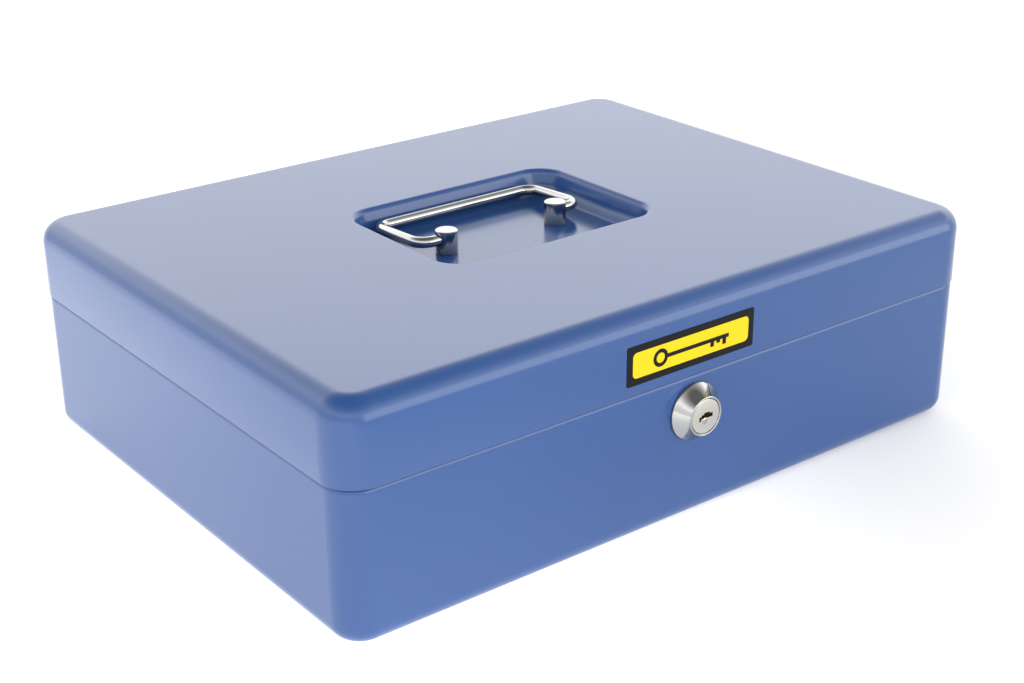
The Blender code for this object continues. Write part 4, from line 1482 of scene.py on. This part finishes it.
# ---- studio ----------------------------------------------------------------
@dataclass
class Studio:
    """Pale floor, soft lights, bright surroundings and the camera."""

    azimuth: float = -37.6
    elevation: float = 23.41
    roll: float = -0.45
    distance: float = 703.4 * MM
    aim_right: float = 3.74 * MM
    aim_up: float = -11.16 * MM
    lens: float = 60.39
    near_sky: float = 2.3
    far_sky: float = 2.9
    zenith: float = 0.25
    # weakest and strongest painted glow of the floor, front right to rear left
    floor_glow: tuple[float, float] = (0.15, 1.05)

    def build_floor(self) -> None:
        """Lay the pale floor, a white sheet that glows as if lit from below; the glow is painted light, weak at the
        front right and strong at the rear left.
        """
        bpy.ops.mesh.primitive_plane_add(size=14.0, location=(0.0, 0.0, -0.0003))
        floor = bpy.context.object
        floor.name = "studio_floor"
        material, tree, shader = start_material("translucent_white_sheet")
        place = add_node(tree, "ShaderNodeTexCoord").outputs["Object"]
        fibre = add_node(tree, "ShaderNodeTexNoise", values={"Scale": 900.0, "Detail": 2.0}, links={"Vector": place})
        tooth = add_node(tree, "ShaderNodeBump", values={"Strength": 0.02, "Distance": 0.02 * MM},
                         links={"Height": fibre.outputs["Fac"]})
        tree.links.new(tooth.outputs["Normal"], shader.inputs["Normal"])
        # painted glow: the floor's emission rises from the front right to the rear left, standing in for light on the
        # floor, and it also lights the box
        across = add_node(tree, "ShaderNodeVectorMath", {"operation": "DOT_PRODUCT"}, {1: (-0.79, 0.61, 0.0)}, {0: place})
        glow = add_node(tree, "ShaderNodeMapRange", {"interpolation_type": "SMOOTHSTEP"},
                        {"From Min": -0.18, "From Max": 0.06, "To Min": self.floor_glow[0], "To Max": self.floor_glow[1]},
                        {"Value": across.outputs["Value"]})
        tree.links.new(glow.outputs["Result"], shader.inputs["Emission Strength"])
        shader.inputs["Emission Color"].default_value = linear("#FFFFFF")
        shader.inputs["Base Color"].default_value = linear("#F0F0F0")
        shader.inputs["Roughness"].default_value = 0.9
        floor.data.materials.append(material)

    def build_world(self) -> None:
        """Surround the box: bright beyond it near the horizon, dim overhead and behind the camera."""
        world = bpy.data.worlds.new("soft_studio")
        bpy.context.scene.world = world
        world.use_nodes = True
        tree = world.node_tree
        back = tree.nodes["Background"]
        way = add_node(tree, "ShaderNodeTexCoord").outputs["Generated"]
        parts = add_node(tree, "ShaderNodeSeparateXYZ", links={"Vector": way})
        beyond = add_node(tree, "ShaderNodeVectorMath", {"operation": "DOT_PRODUCT"}, {1: (0.61, 0.79, 0.0)}, {0: way})
        far = add_node(tree, "ShaderNodeMapRange", {"interpolation_type": "SMOOTHSTEP"},
                       {"From Min": 0.1, "From Max": 0.8, "To Min": self.near_sky, "To Max": self.far_sky},
                       {"Value": beyond.outputs["Value"]})
        high = add_node(tree, "ShaderNodeValToRGB", links={"Fac": parts.outputs["Z"]})
        stops = ((0.0, 0.52), (0.28, 0.60), (0.42, 0.86), (0.52, 0.80), (0.70, 0.30), (0.90, 0.0))
        while len(high.color_ramp.elements) < len(stops):
            high.color_ramp.elements.new(0.5)
        for element, (spot, grey) in zip(high.color_ramp.elements, stops):
            element.position = spot
            element.color = (grey, grey, grey, 1.0)
        level = add_node(tree, "ShaderNodeMath", {"operation": "MULTIPLY_ADD"}, {2: self.zenith},
                         {0: far.outputs["Result"], 1: high.outputs["Color"]})
        tree.links.new(level.outputs["Value"], back.inputs["Strength"])
        back.inputs["Color"].default_value = linear("#FFFEFC")

    def build_light(self, name: str, place: Vector, aim: Vector, size: Point2, power: float) -> None:
        """Hang one soft rectangular light.

        Args:
            name: Name of the light.
            place: Where it hangs.
            aim: Point that it faces.
            size: Width and height in metres.
            power: Power in watts.
        """
        data = bpy.data.lights.new(name, "AREA")
        data.shape = "RECTANGLE"
        data.size, data.size_y = size
        data.energy = power
        light = bpy.data.objects.new(name, data)
        light.matrix_world = Matrix.Translation(place) @ (aim - place).to_track_quat("-Z", "Y").to_matrix().to_4x4()
        bpy.context.scene.collection.objects.link(light)

    def build_camera(self) -> None:
        """Place the camera."""
        turn, tilt, roll = (math.radians(v) for v in (self.azimuth, self.elevation, self.roll))
        back = Vector((math.sin(turn) * math.cos(tilt), -math.cos(turn) * math.cos(tilt), math.sin(tilt)))
        right = ALONG_Z.cross(back).normalized()
        up = back.cross(right)
        side = right * math.cos(roll) + up * math.sin(roll)
        head = up * math.cos(roll) - right * math.sin(roll)
        place = Vector((0, 0, 0.045)) + side * self.aim_right + head * self.aim_up + back * self.distance
        data = bpy.data.cameras.new("camera")
        data.lens = self.lens
        data.sensor_width = 36.0
        data.clip_start = 0.01
        data.clip_end = 100.0
        camera = bpy.data.objects.new("camera", data)
        turned = Matrix((side, head, back)).transposed().to_4x4()
        camera.matrix_world = Matrix.Translation(place) @ turned
        bpy.context.scene.collection.objects.link(camera)
        bpy.context.scene.camera = camera

    def build(self) -> None:
        """Set up the whole studio."""
        self.build_floor()
        self.build_world()
        middle = Vector((0, 0, 0.05))
        self.build_light("front_box", Vector((0.9, -1.9, 0.45)), middle, (2.4, 1.0), 16.0)
        self.build_camera()
        view = bpy.context.scene.view_settings
        view.view_transform = "Standard"
        view.look = "None"
        LOG.info("studio ready")


def main() -> None:
    """Build every sub-assembly in order."""
    logging.basicConfig(level=logging.INFO, format="%(name)s: %(message)s")
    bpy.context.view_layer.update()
    lid_low, lid_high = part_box("lid_shell")
    base_low, base_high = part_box("base_shell")
    housing_low, housing_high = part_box("lock_housing")
    tray_low, tray_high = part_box("coin_tray_rear")
    label_low, label_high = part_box("label_border")
    lock_z = (housing_low.z + housing_high.z) / 2
    shelf = FinishShelf.build((0.0, 0.0, lock_z))

    lid_sheet = PressedSheet(lid_high.x, lid_high.y, 13.5 * MM)
    LidShell(shelf.paint, lid_sheet, HandleRecess(), lid_high.z, lid_low.z).build()
    base_sheet = PressedSheet(base_high.x, base_high.y, 11.5 * MM)
    BaseShell(shelf.paint, base_sheet, base_high.z, lock_z).build()
    BailHandle(shelf.chrome, shelf.zinc).build()
    FrontLabel(shelf.black, shelf.yellow, label_low, label_high).build()
    CamLock(shelf, lock_z, housing_low.y, base_low.y, housing_high.y).build()
    Keeper(shelf.zinc).build()
    RearHinges(shelf.paint, shelf.zinc).build()
    CoinTray(shelf.plastic, tray_low, tray_high).build()
    Studio().build()


if __name__ == "__main__":
    main()
